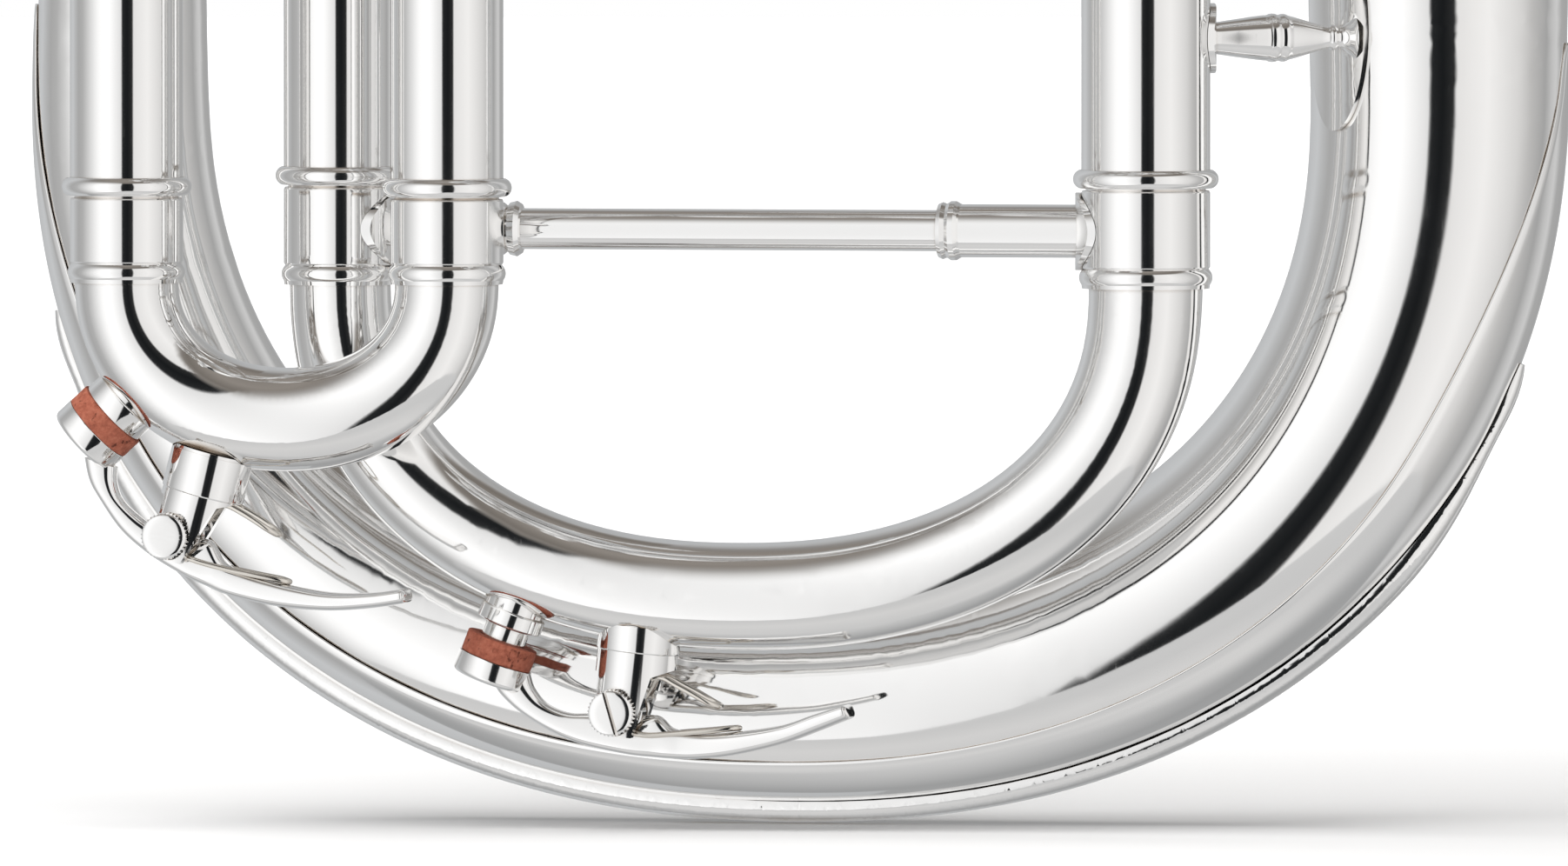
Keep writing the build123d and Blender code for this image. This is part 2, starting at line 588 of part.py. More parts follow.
# ---------------------------------------------------------------- fixed slide tubes and stop rings
leg_top = {"A": PORT_Z[2] - 13.0, "B": PORT_Z[1] - 13.0, "C": PORT_Z[0] - 13.0}
narrow_wall = NARROW_FIXED_R - NARROW_INNER_R - RUN
with BuildPart() as third_slide_outer_tubes:
    add(straight_tube(LEG_A_X, THIRD_Y, THIRD_RING_Z - RING_HEIGHT / 2, leg_top["A"], NARROW_FIXED_R, narrow_wall))
    add(straight_tube(LEG_C_X, THIRD_Y, THIRD_RING_Z - RING_HEIGHT / 2, leg_top["C"], NARROW_FIXED_R, narrow_wall))
save(third_slide_outer_tubes, "third_slide_outer_tubes")

with BuildPart() as main_slide_inlet_tube:
    add(straight_tube(LEG_B_X, MAIN_Y, MAIN_RING_Z - RING_HEIGHT / 2, leg_top["B"], NARROW_FIXED_R, narrow_wall))
save(main_slide_inlet_tube, "main_slide_inlet_tube")

with BuildPart() as main_slide_outlet_tube:
    add(straight_tube(LEG_D_X, MAIN_Y, MAIN_RING_Z - RING_HEIGHT / 2, OUTLET_TOP_Z, WIDE_FIXED_R,
                      WIDE_FIXED_R - WIDE_INNER_R - RUN))
save(main_slide_outlet_tube, "main_slide_outlet_tube")

# First valve slide: two upright legs in front of valve 1.  Second: a short bow pointing forwards.
FIRST_X = (26.0, 50.0)
FIRST_Y = -78.5
FIRST_PORTS = (PORT_Z[1], PORT_Z[2])
FIRST_RING_Z = 226.0
FIRST_FIXED_R = 8.3
FIRST_INNER_R = 7.65
SECOND_Z = (PORT_Z[1], PORT_Z[2])
SECOND_RING_Y = -84.0
short_wall = FIRST_FIXED_R - FIRST_INNER_R - RUN
with BuildPart() as first_slide_outer_tubes:
    for leg_x, port in zip(FIRST_X, FIRST_PORTS):
        add(straight_tube(leg_x, FIRST_Y, FIRST_RING_Z, port - 13.0, FIRST_FIXED_R, short_wall))
save(first_slide_outer_tubes, "first_slide_outer_tubes")

with BuildPart() as second_slide_outer_tubes:
    for z in SECOND_Z:
        with BuildLine() as route:
            Line((VALVE_X[1], VALVE_Y - CASING_R + 0.5, z), (VALVE_X[1], SECOND_RING_Y, z))
        add(swept_tube(route.wire(), FIRST_FIXED_R, short_wall))
    add(upright(VALVE_X[1], VALVE_Y, 200, 370, CASING_R + SOLDER), mode=Mode.SUBTRACT)
save(second_slide_outer_tubes, "second_slide_outer_tubes")

with BuildPart() as slide_end_rings:
    add(stop_ring(LEG_A_X, THIRD_Y, THIRD_RING_Z, NARROW_FIXED_R))
    add(stop_ring(LEG_C_X, THIRD_Y, THIRD_RING_Z, NARROW_FIXED_R))
    add(stop_ring(LEG_B_X, MAIN_Y, MAIN_RING_Z, NARROW_FIXED_R))
    add(stop_ring(LEG_D_X, MAIN_Y, MAIN_RING_Z, WIDE_FIXED_R))
    for leg_x in FIRST_X:
        add(stop_ring(leg_x, FIRST_Y, FIRST_RING_Z + RING_HEIGHT / 2, FIRST_FIXED_R))
save(slide_end_rings, "slide_end_rings")


def u_slide(start, end, out, reach, lift):
    """Slide bow with two legs: out points away from the valves, reach goes back into the fixed tubes."""
    half = hypot(*(p - q for p, q in zip(start, end))) / 2
    middle = tuple((a + b) / 2 + o * half for a, b, o in zip(start, end, out))
    tops = [tuple(p - o * (reach + lift) for p, o in zip(point, out)) for point in (start, end)]
    with BuildLine() as route:
        Line(tops[0], start)
        ThreePointArc(start, middle, end)
        Line(end, tops[1])
    with BuildPart() as bow:
        add(swept_tube(route.wire(), FIRST_INNER_R, SHEET))
        for point in (start, end):
            foot = tuple(p - o * 0.5 for p, o in zip(point, out))
            with BuildSketch(Plane(origin=foot, z_dir=tuple(-o for o in out))):
                Circle(FIRST_FIXED_R)
                Circle(FIRST_INNER_R - 0.2, mode=Mode.SUBTRACT)
            extrude(amount=lift)
    return bow.part


with BuildPart() as first_slide:
    low = FIRST_RING_Z - 12.8
    add(u_slide((FIRST_X[0], FIRST_Y, low), (FIRST_X[1], FIRST_Y, low), (0, 0, -1), 42, 12))
save(first_slide, "first_slide")

with BuildPart() as second_slide:
    front = SECOND_RING_Y - 6.8
    add(u_slide((VALVE_X[1], front, SECOND_Z[0]), (VALVE_X[1], front, SECOND_Z[1]), (0, -1, 0), 14, 6))
save(second_slide, "second_slide")

# ---------------------------------------------------------------- valves
casing_outer = [upright(x, VALVE_Y, 200, 380, CASING_R + SOLDER / 2) for x in VALVE_X]


def ports(valve, angle, z, length=CASING_R + 3):
    """Radial drill through one side of a casing."""
    direction = (cos(radians(angle)), sin(radians(angle)), 0)
    return cylinder((VALVE_X[valve], VALVE_Y, z), direction, length, PORT_R)


def bearing(valve, x, y):
    """Direction from a valve's axis to a point, in degrees from +X."""
    return degrees(atan2(y - VALVE_Y, x - VALVE_X[valve]))


port_list = [
    (0, 0, PORT_Z[2]), (0, 180, PORT_Z[0]), (1, 0, PORT_Z[0]), (1, 180, PORT_Z[2]), (2, 0, PORT_Z[2]),
    (0, bearing(0, FIRST_X[0], FIRST_Y), FIRST_PORTS[0]), (0, bearing(0, FIRST_X[1], FIRST_Y), FIRST_PORTS[1]),
    (1, -90, SECOND_Z[0]), (1, -90, SECOND_Z[1]),
    (2, bearing(2, LEG_A_X, THIRD_Y), PORT_Z[2]), (2, bearing(2, LEG_B_X, MAIN_Y), PORT_Z[1]),
    (2, bearing(2, LEG_C_X, THIRD_Y), PORT_Z[0]),
]

with BuildPart() as valve_casings:
    for x in VALVE_X:
        add(straight_tube(x, VALVE_Y, CASING_Z[0], CASING_Z[1], CASING_R, CASING_R - CASING_BORE_R))
    for valve, angle, z in port_list:
        add(ports(valve, angle, z), mode=Mode.SUBTRACT)
save(valve_casings, "valve_casings")

CAP_R = 14.2
CAP_STEP = 1.4
with BuildPart() as valve_top_caps:
    for x in VALVE_X:
        add(turned((x, VALVE_Y, CASING_Z[1] - 7), (0, 0, 1), (
            (0, CAP_R - 0.6), (0.6, CAP_R), (6.4, CAP_R), (7.0, CAP_R - 0.6), (8.5, CAP_R - CAP_STEP),
            (10.5, 8.5), (12.0, 6.5), (14.0, 6.0))))
        add(upright(x, VALVE_Y, CASING_Z[1] - 8, CASING_Z[1] + SOLDER, CASING_R + SOLDER), mode=Mode.SUBTRACT)
        add(upright(x, VALVE_Y, CASING_Z[1] - 8, CASING_Z[1] + 12, STEM_R + 0.35), mode=Mode.SUBTRACT)
save(valve_top_caps, "valve_top_caps")

SPRING_FOOT_Z = CASING_Z[0] + 2.0
with BuildPart() as valve_bottom_caps:
    for x in VALVE_X:
        add(turned((x, VALVE_Y, CASING_Z[0] + 7), (0, 0, -1), (
            (0, CAP_R - 0.6), (0.6, CAP_R), (7.4, CAP_R), (8.0, CAP_R - 0.6), (9.0, CAP_R - CAP_STEP),
            (11.0, 8.0), (12.0, 5.5), (14.5, 4.5), (15.0, 3.9))))
        add(upright(x, VALVE_Y, CASING_Z[0] - SOLDER, CASING_Z[0] + 8, CASING_R + SOLDER), mode=Mode.SUBTRACT)
        add(upright(x, VALVE_Y, CASING_Z[0] - 9, CASING_Z[0] - 4, 2.2), mode=Mode.SUBTRACT)
save(valve_bottom_caps, "valve_bottom_caps")

with BuildPart() as valve_knuckles:
    add(elbow(LEG_A_X, THIRD_Y, leg_top["A"] - 5, PORT_Z[2], VALVE_X[2]))
    add(elbow(LEG_B_X, MAIN_Y, leg_top["B"] - 5, PORT_Z[1], VALVE_X[2]))
    add(elbow(LEG_C_X, THIRD_Y, leg_top["C"] - 5, PORT_Z[0], VALVE_X[2]))
    for leg_x, port in zip(FIRST_X, FIRST_PORTS):
        add(elbow(leg_x, FIRST_Y, port - 18, port, VALVE_X[0]))
    for start, z in ((VALVE_X[0], PORT_Z[0]), (VALVE_X[1], PORT_Z[2])):
        add(cylinder((start - 10, VALVE_Y, z), (-1, 0, 0), 10, KNUCKLE_R))
    for start, z in ((VALVE_X[0], PORT_Z[0]), (VALVE_X[1], PORT_Z[2])):
        add(cylinder((start, VALVE_Y, z), (-1, 0, 0), 30, KNUCKLE_R - SHEET), mode=Mode.SUBTRACT)
    for solid in casing_outer:
        add(solid, mode=Mode.SUBTRACT)
save(valve_knuckles, "valve_knuckles")

BUTTON_R = 8.6
for number, x in enumerate(VALVE_X, start=1):
    with BuildPart() as piston:
        add(straight_tube(x, VALVE_Y, PISTON_Z[0], PISTON_Z[1], PISTON_R, 1.2))
        for z in (PISTON_Z[0], PISTON_Z[1] - 2):
            add(upright(x, VALVE_Y, z, z + 2, PISTON_R - 0.5))
        for z, angle in zip(PORT_Z, (20, -35, 75)):
            direction = (cos(radians(angle)), sin(radians(angle)), 0)
            start = tuple(a - b * PISTON_R for a, b in zip((x, VALVE_Y, z), direction))
            add(cylinder(start, direction, 2 * PISTON_R, PORT_R + 0.8))
        add(upright(x, VALVE_Y, PISTON_Z[0] - 1, PISTON_Z[1] + 1, 40) - upright(
            x, VALVE_Y, PISTON_Z[0] - 2, PISTON_Z[1] + 2, PISTON_R), mode=Mode.SUBTRACT)
        for z, angle in zip(PORT_Z, (20, -35, 75)):
            direction = (cos(radians(angle)), sin(radians(angle)), 0)
            start = tuple(a - b * 15 for a, b in zip((x, VALVE_Y, z), direction))
            add(cylinder(start, direction, 30, PORT_R), mode=Mode.SUBTRACT)
    save(piston, f"piston_{number}")

    with BuildPart() as finger_button:
        add(turned((x, VALVE_Y, PISTON_Z[1] + SOLDER), (0, 0, 1), (
            (0, 6.0), (3.0, 6.0), (3.5, STEM_R), (BUTTON_Z - 7 - PISTON_Z[1], STEM_R),
            (BUTTON_Z - 6.5 - PISTON_Z[1], 5.5), (BUTTON_Z - 4.5 - PISTON_Z[1], BUTTON_R - 0.6),
            (BUTTON_Z - 2.5 - PISTON_Z[1], BUTTON_R), (BUTTON_Z - 0.6 - PISTON_Z[1], BUTTON_R),
            (BUTTON_Z - PISTON_Z[1], BUTTON_R - 0.6))))
        add(upright(x, VALVE_Y, BUTTON_Z - 1.2, BUTTON_Z + 1, BUTTON_R - 1.4), mode=Mode.SUBTRACT)
    save(finger_button, f"finger_button_{number}")

    with BuildPart() as valve_spring:
        height = PISTON_Z[0] - SPRING_FOOT_Z - 1.6
        coil = Helix(pitch=height / 7, height=height, radius=8.0, center=(x, VALVE_Y, SPRING_FOOT_Z + 0.8))
        with BuildSketch(coil ^ 0):
            Circle(0.55)
        sweep(path=coil, is_frenet=True)
    save(valve_spring, f"valve_spring_{number}")

# ---------------------------------------------------------------- bell, branches and top bow
with BuildPart() as bell:
    with BuildSketch(Plane.XZ):
        with BuildLine():
            outer = Spline(*[(BELL_X + r, z) for r, z in BELL_PROFILE])
            inner = Spline(*[(BELL_X + r - BELL_WALL * (1 if z < 560 else 1.15), z) for r, z in BELL_PROFILE])
            Line(outer @ 0, inner @ 0)
            Line(outer @ 1, inner @ 1)
        make_face()
    revolve(axis=Axis((BELL_X, 0, 0), (0, 0, 1)))
save(bell, "bell")

rim_r, rim_z = BELL_PROFILE[-1]
with BuildPart() as bell_rim_wire:
    with BuildSketch(Plane.XZ):
        with Locations((BELL_X + rim_r + 1.2, rim_z - 0.6)):
            Circle(2.0)
    revolve(axis=Axis((BELL_X, 0, 0), (0, 0, 1)))
    add(bell.part, mode=Mode.SUBTRACT)
save(bell_rim_wire, "bell_rim_wire")

with BuildPart() as left_branch:
    add(straight_tube(LEFT_X, 0, BOW_TOP_Z + 0.5, BRANCH_TOP_Z, BOW_R_LEFT, SHEET, LEFT_BRANCH_R))
save(left_branch, "left_branch")

with BuildPart() as right_branch:
    add(straight_tube(LEG_D_X, MAIN_Y, OUTLET_TOP_Z + 0.5, BRANCH_TOP_Z, WIDE_FIXED_R, SHEET, RIGHT_BRANCH_R))
save(right_branch, "right_branch")

# Top bow: half a circle in the upright plane through both branches.
arc_mid = ((LEFT_X + LEG_D_X) / 2, MAIN_Y / 2)
arc_r = hypot(LEG_D_X - LEFT_X, MAIN_Y) / 2
along = ((LEG_D_X - LEFT_X) / (2 * arc_r), MAIN_Y / (2 * arc_r))
top_stations = []
for step in range(17):
    turn = pi * step / 16
    level = -arc_r * cos(turn)
    plane = Plane(
        origin=(arc_mid[0] + along[0] * level, arc_mid[1] + along[1] * level, BRANCH_TOP_Z + 0.5 + arc_r * sin(turn)),
        x_dir=(-along[1], along[0], 0), z_dir=(along[0] * sin(turn), along[1] * sin(turn), cos(turn)))
    top_stations.append((plane, LEFT_BRANCH_R + (RIGHT_BRANCH_R - LEFT_BRANCH_R) * step / 16))
with BuildPart() as top_bow:
    add(tapered_tube(top_stations, SHEET))
save(top_bow, "top_bow")


def joint_ferrule(x, y, z, low_r, high_r, half):
    """Beaded band over the joint of two upright tubes."""
    with BuildPart() as band:
        with BuildSketch(Plane.XZ.offset(-y)):
            with BuildLine():
                Polyline(
                    (x + low_r + SOLDER, z - half), (x + low_r + 0.7, z - half), (x + low_r + 1.3, z - half + 1.0),
                    (x + low_r + 0.7, z - half + 2.0), (x + high_r + 0.7, z + half - 2.0),
                    (x + high_r + 1.3, z + half - 1.0), (x + high_r + 0.7, z + half), (x + high_r + SOLDER, z + half),
                    close=True)
            make_face()
        revolve(axis=Axis((x, y, 0), (0, 0, 1)))
    return band.part


with BuildPart() as branch_ferrules:
    slope = (BOW_R_RIGHT - BOW_R_LEFT) / BOW_LENGTH
    add(joint_ferrule(LEFT_X, 0, BOW_TOP_Z, BOW_R_LEFT + 9 * slope, BOW_R_LEFT, 8.0))
    add(joint_ferrule(BELL_X, 0, BOW_TOP_Z, BOW_R_RIGHT, BOW_R_RIGHT + 0.3, 8.0))
    add(joint_ferrule(LEFT_X, 0, BRANCH_TOP_Z - 8, LEFT_BRANCH_R + 0.11, LEFT_BRANCH_R + 0.03, 7.5))
    add(joint_ferrule(LEG_D_X, MAIN_Y, BRANCH_TOP_Z - 8, RIGHT_BRANCH_R, RIGHT_BRANCH_R, 7.5))
    add(joint_ferrule(LEG_D_X, MAIN_Y, OUTLET_TOP_Z, WIDE_FIXED_R, WIDE_FIXED_R + 0.05, 7.5))
save(branch_ferrules, "branch_ferrules")

# ---------------------------------------------------------------- leadpipe, receiver and mouthpiece
LEAD_R = 6.5
LEAD_LOW_Z = PORT_Z[2]
LEAD_HIGH_Z = 381.0
LEAD_SWING = -VALVE_Y
lead_slope = (LEAD_HIGH_Z - LEAD_LOW_Z) / 2
lead_out = BELL_X + hypot(LEAD_SWING, lead_slope)
RECEIVER_X = 52.0
MOUTH_TURN = 32.0
MOUTH_BEND = 40.0
bend = radians(MOUTH_TURN)
mouth_dir = (-cos(bend), sin(bend), 0)
bend_end = (RECEIVER_X - MOUTH_BEND * sin(bend), LEAD_SWING + MOUTH_BEND * (1 - cos(bend)), LEAD_HIGH_Z)
bend_mid = (RECEIVER_X - MOUTH_BEND * sin(bend / 2), LEAD_SWING + MOUTH_BEND * (1 - cos(bend / 2)), LEAD_HIGH_Z)
receiver_start = tuple(a + 8 * b for a, b in zip(bend_end, mouth_dir))
with BuildPart() as leadpipe:
    with BuildLine() as route:
        Line((VALVE_X[0] + CASING_R - 1.5, VALVE_Y, LEAD_LOW_Z), (BELL_X, VALVE_Y, LEAD_LOW_Z))
        ThreePointArc((BELL_X, VALVE_Y, LEAD_LOW_Z), (lead_out, 0, (LEAD_LOW_Z + LEAD_HIGH_Z) / 2),
                      (BELL_X, LEAD_SWING, LEAD_HIGH_Z))
        Line((BELL_X, LEAD_SWING, LEAD_HIGH_Z), (RECEIVER_X, LEAD_SWING, LEAD_HIGH_Z))
        ThreePointArc((RECEIVER_X, LEAD_SWING, LEAD_HIGH_Z), bend_mid, bend_end)
        Line(bend_end, receiver_start)
    add(swept_tube(route.wire(), LEAD_R, SHEET))
    add(casing_outer[0], mode=Mode.SUBTRACT)
save(leadpipe, "leadpipe")

# Distances along the mouthpiece's axis, from the receiver's foot.
RECEIVER_LENGTH = 26.0
SHANK_R = 6.3
with BuildPart() as mouthpiece_receiver:
    add(turned(tuple(a - 6 * b for a, b in zip(receiver_start, mouth_dir)), mouth_dir, (
        (0, LEAD_R + 0.6), (6, LEAD_R + 1.1), (20, 8.2), (24, 8.6), (25, 9.4), (28, 9.4), (29, 8.6),
        (6 + RECEIVER_LENGTH, 8.6))))
    add(cylinder(tuple(a - 7 * b for a, b in zip(receiver_start, mouth_dir)), mouth_dir, 7.1, LEAD_R + SOLDER),
        mode=Mode.SUBTRACT)
    add(cylinder(receiver_start, mouth_dir, RECEIVER_LENGTH + 1, SHANK_R + RUN), mode=Mode.SUBTRACT)
save(mouthpiece_receiver, "mouthpiece_receiver")

with BuildPart() as mouthpiece:
    shank_foot = tuple(a + 2 * b for a, b in zip(receiver_start, mouth_dir))
    add(turned(shank_foot, mouth_dir, (
        (0, SHANK_R - 0.1), (24.5, SHANK_R), (25.5, 6.9), (38, 6.4), (48, 7.2), (56, 9.4), (60, 11.6), (66, 14.6),
        (72, 16.4), (77, 17.4), (79, 18.9), (81.5, 19.5), (84.0, 18.9), (85.2, 17.2))))
    add(turned(shank_foot, mouth_dir, (
        (-0.5, 4.4), (30, 3.6), (52, 3.3), (57, 4.4), (62, 8.6), (68, 11.3), (76, 12.6), (83, 12.9),
        (85.8, 14.6))), mode=Mode.SUBTRACT)
save(mouthpiece, "mouthpiece")
print("receiver start", receiver_start, "mouthpiece axis", mouth_dir)


# ---------------------------------------------------------------- stays, thumb ring and strap rings
def baluster(start, direction, length):
    """Turned stay with a pair of beads, waisted towards its far end, as distances and radii."""
    return turned(start, direction, (
        (-2.0, 2.2), (0, 2.2), (length * 0.30, 3.1), (length * 0.34, 3.5), (length * 0.38, 3.6),
        (length * 0.42, 3.1), (length * 0.45, 3.5), (length * 0.49, 3.5), (length * 0.53, 3.1),
        (length * 0.78, 1.8), (length * 0.82, 1.75), (length * 0.84, 2.4), (length * 0.88, 2.4),
        (length * 0.90, 1.9), (length, 2.9), (length + 1.5, 4.2)))


STAY_Z = 118.0
STAY_TURN = 24.6             # degrees from +X towards +Y
stay_dir = (cos(radians(STAY_TURN)), sin(radians(STAY_TURN)), 0)
stay_start = tuple(a + WIDE_FIXED_R * b for a, b in zip((LEG_D_X, MAIN_Y, STAY_Z), stay_dir))
STAY_LENGTH = 22.0
bow_skin = tapered_solid(bow_stations, SOLDER)
bow_thick = tapered_solid(bow_stations, 1.0)
leg_d = upright(LEG_D_X, MAIN_Y, 80, 205, WIDE_FIXED_R + SOLDER)
leg_d_thick = upright(LEG_D_X, MAIN_Y, 80, 205, WIDE_FIXED_R + 0.9)
with BuildPart() as bow_stay:
    add(baluster(stay_start, stay_dir, STAY_LENGTH))
    add(leg_d_thick, mode=Mode.SUBTRACT)
    add(bow_thick, mode=Mode.SUBTRACT)
save(bow_stay, "bow_stay")

with BuildPart() as bow_stay_feet:
    add(saddle(leg_d, leg_d_thick, (LEG_D_X, MAIN_Y, STAY_Z), stay_dir, 30, 5.2))
    toe = (BELL_X - 5.0, 0, STAY_Z + 1.5)
    add(saddle(bow_skin, bow_thick, toe, (-sin(radians(30)), -cos(radians(30)), 0), 40, 6.4, 2.4))
save(bow_stay_feet, "bow_stay_feet")


def plain_stay(start, end, start_r, end_r):
    """Straight stay with round feet between two upright tubes, given by their axes and radii."""
    run = hypot(end[0] - start[0], end[1] - start[1])
    direction = ((end[0] - start[0]) / run, (end[1] - start[1]) / run, 0)
    length = run - start_r - end_r
    first = tuple(a + start_r * b for a, b in zip(start, direction))
    foot = min(2.0, length * 0.25)
    profile = ((-2.5, 4.6), (foot * 0.6, 4.4), (foot, 2.3), (length / 2 - 0.8, 2.1), (length / 2 - 0.5, 2.8),
               (length / 2 + 0.5, 2.8), (length / 2 + 0.8, 2.1), (length - foot, 2.3), (length - foot * 0.6, 4.4),
               (length + 2.5, 4.6))
    with BuildPart() as stay:
        add(turned(first, direction, profile))
        add(upright(start[0], start[1], start[2] - 20, start[2] + 20, start_r + SOLDER), mode=Mode.SUBTRACT)
        add(upright(end[0], end[1], end[2] - 20, end[2] + 20, end_r + SOLDER), mode=Mode.SUBTRACT)
    return stay.part


LEG_STAY_Z = 129.5
with BuildPart() as leg_stay:
    add(plain_stay((LEG_B_X, MAIN_Y, LEG_STAY_Z), (LEG_C_X, THIRD_Y, LEG_STAY_Z), NARROW_FIXED_R, NARROW_FIXED_R))
save(leg_stay, "leg_stay")

BRANCH_STAY_Z = 196.0
VALVE_STAY_Z = 236.0
left_r = BOW_R_LEFT + (LEFT_BRANCH_R - BOW_R_LEFT) * (BRANCH_STAY_Z - BOW_TOP_Z) / (BRANCH_TOP_Z - BOW_TOP_Z)
right_r = WIDE_FIXED_R + (RIGHT_BRANCH_R - WIDE_FIXED_R) * (VALVE_STAY_Z - OUTLET_TOP_Z) / (BRANCH_TOP_Z - OUTLET_TOP_Z)
bell_skin = upright(BELL_X, 0, BRANCH_STAY_Z - 30, BRANCH_STAY_Z + 30, 21.75)
with BuildPart() as body_stays:
    add(plain_stay((LEFT_X, 0, BRANCH_STAY_Z), (LEG_B_X, MAIN_Y, BRANCH_STAY_Z), left_r, NARROW_FIXED_R))
    add(plain_stay((VALVE_X[0], VALVE_Y, VALVE_STAY_Z), (LEG_D_X, MAIN_Y, VALVE_STAY_Z), CASING_R, right_r + 0.05))
    add(plain_stay((LEG_D_X, MAIN_Y, BRANCH_STAY_Z), (BELL_X, 0, BRANCH_STAY_Z), WIDE_FIXED_R, 21.8))
    add(turned((lead_out - LEAD_R + 0.5, 0, (LEAD_LOW_Z + LEAD_HIGH_Z) / 2), (-1, 0, 0), (
        (-3, 4.2), (1.5, 4.0), (2.0, 2.3), (12.0, 2.1), (12.4, 2.8), (13.4, 2.8), (13.8, 2.1),
        (22.0, 2.3), (23.5, 4.4), (29, 4.8))))
    add(leadpipe.part, mode=Mode.SUBTRACT)
    with BuildSketch(Plane.XZ):
        with BuildLine():
            Spline(*[(BELL_X + r + SOLDER, z) for r, z in BELL_PROFILE])
            Polyline((BELL_X + 140 + SOLDER, 640), (BELL_X, 640), (BELL_X, 150.5), (BELL_X + 19.9 + SOLDER, 150.5))
        make_face()
    revolve(axis=Axis((BELL_X, 0, 0), (0, 0, 1)), mode=Mode.SUBTRACT)
save(body_stays, "body_stays")

THUMB_X = VALVE_X[0] + CASING_R + 14.2
THUMB_Z = 268.0
with BuildPart() as thumb_ring:
    with BuildSketch(Plane.XY.offset(THUMB_Z)):
        with Locations((THUMB_X + 12.5, VALVE_Y)):
            Circle(2.1)
    revolve(axis=Axis((THUMB_X, VALVE_Y, THUMB_Z), (0, 1, 0)))
    add(cylinder((VALVE_X[0] + 8, VALVE_Y, THUMB_Z), (1, 0, 0), 7.5, 3.6))
    add(casing_outer[0], mode=Mode.SUBTRACT)
save(thumb_ring, "thumb_ring")

STRAP_HOLE_R = 6.0
STRAP_Z = (232.0, 300.0)
strap_reach = {}
with BuildPart() as strap_rings:
    for z, tube_x, tube_r in ((STRAP_Z[0], BELL_X, 23.1), (STRAP_Z[1], LEFT_X, 11.1)):
        centre = (tube_x, tube_r + STRAP_HOLE_R + 3.4, z)
        strap_reach[tube_x] = centre
        with BuildSketch(Plane(origin=(tube_x - 1.5, centre[1], z), z_dir=(1, 0, 0))):
            Circle(STRAP_HOLE_R + 2.6)
            Circle(STRAP_HOLE_R, mode=Mode.SUBTRACT)
        extrude(amount=3)
        with BuildSketch(Plane(origin=(tube_x, tube_r - 2.5, z), z_dir=(0, 1, 0))):
            Ellipse(3.4, 6.5)
        extrude(amount=4.6)
    with BuildSketch(Plane.XZ):
        with BuildLine():
            Spline(*[(BELL_X + r + SOLDER, z) for r, z in BELL_PROFILE])
            Polyline((BELL_X + 140 + SOLDER, 640), (BELL_X, 640), (BELL_X, 150.5), (BELL_X + 19.9 + SOLDER, 150.5))
        make_face()
    revolve(axis=Axis((BELL_X, 0, 0), (0, 0, 1)), mode=Mode.SUBTRACT)
    add(upright(LEFT_X, 0, STRAP_Z[1] - 20, STRAP_Z[1] + 20, 11.15), mode=Mode.SUBTRACT)
save(strap_rings, "strap_rings")
print("strap ring centres", strap_reach, "thumb ring centre", (THUMB_X, VALVE_Y, THUMB_Z))
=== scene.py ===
"""Looks of the small tuba: studio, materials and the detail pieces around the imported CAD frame.

Everything is in metres in the shared frame. Dimensions in the helpers below are written in millimetres
and turned into metres by MM.
"""

import json
import math

import bmesh
import bpy
from mathutils import Matrix, Vector, noise


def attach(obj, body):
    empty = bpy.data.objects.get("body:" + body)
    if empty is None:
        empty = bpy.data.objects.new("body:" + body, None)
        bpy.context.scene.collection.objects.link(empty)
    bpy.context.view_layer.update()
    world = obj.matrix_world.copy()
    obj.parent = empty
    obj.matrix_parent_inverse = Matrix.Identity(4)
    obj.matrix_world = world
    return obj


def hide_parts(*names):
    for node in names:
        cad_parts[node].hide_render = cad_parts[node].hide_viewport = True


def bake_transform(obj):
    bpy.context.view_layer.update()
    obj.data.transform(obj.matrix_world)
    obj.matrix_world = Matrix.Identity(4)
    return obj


MM = 0.001
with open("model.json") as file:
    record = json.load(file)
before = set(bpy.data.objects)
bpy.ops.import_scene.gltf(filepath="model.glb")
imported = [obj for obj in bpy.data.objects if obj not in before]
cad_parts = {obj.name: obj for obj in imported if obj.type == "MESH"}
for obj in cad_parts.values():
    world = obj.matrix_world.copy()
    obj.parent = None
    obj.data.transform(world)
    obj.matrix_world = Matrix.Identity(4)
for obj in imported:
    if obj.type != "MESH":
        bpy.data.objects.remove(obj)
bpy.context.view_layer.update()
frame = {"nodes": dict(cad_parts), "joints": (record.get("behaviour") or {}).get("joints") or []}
nodes = frame["nodes"]
scene = bpy.context.scene

# ---------------------------------------------------------------- camera
YAW = math.radians(10.0)           # the camera stands a little to the right of the front
RISE = math.radians(2.0)
AIM = Vector((-2.4, 0.0, 58.2)) * MM
VIEW_WIDTH = 234.4 * MM
CAMERA_DISTANCE = 4.2
SENSOR = 36.0

toward = Vector((math.sin(YAW) * math.cos(RISE), -math.cos(YAW) * math.cos(RISE), math.sin(RISE)))
camera_data = bpy.data.cameras.new("camera")
camera_data.sensor_width = SENSOR
camera_data.lens = SENSOR * CAMERA_DISTANCE / VIEW_WIDTH
camera_data.clip_start = 0.05
camera_data.clip_end = 50.0
camera = bpy.data.objects.new("camera", camera_data)
camera.location = AIM + toward * CAMERA_DISTANCE
camera.rotation_mode = "QUATERNION"
camera.rotation_quaternion = toward.to_track_quat("Z", "Y")
scene.collection.objects.link(camera)
scene.camera = camera
scene.view_settings.view_transform = "Standard"


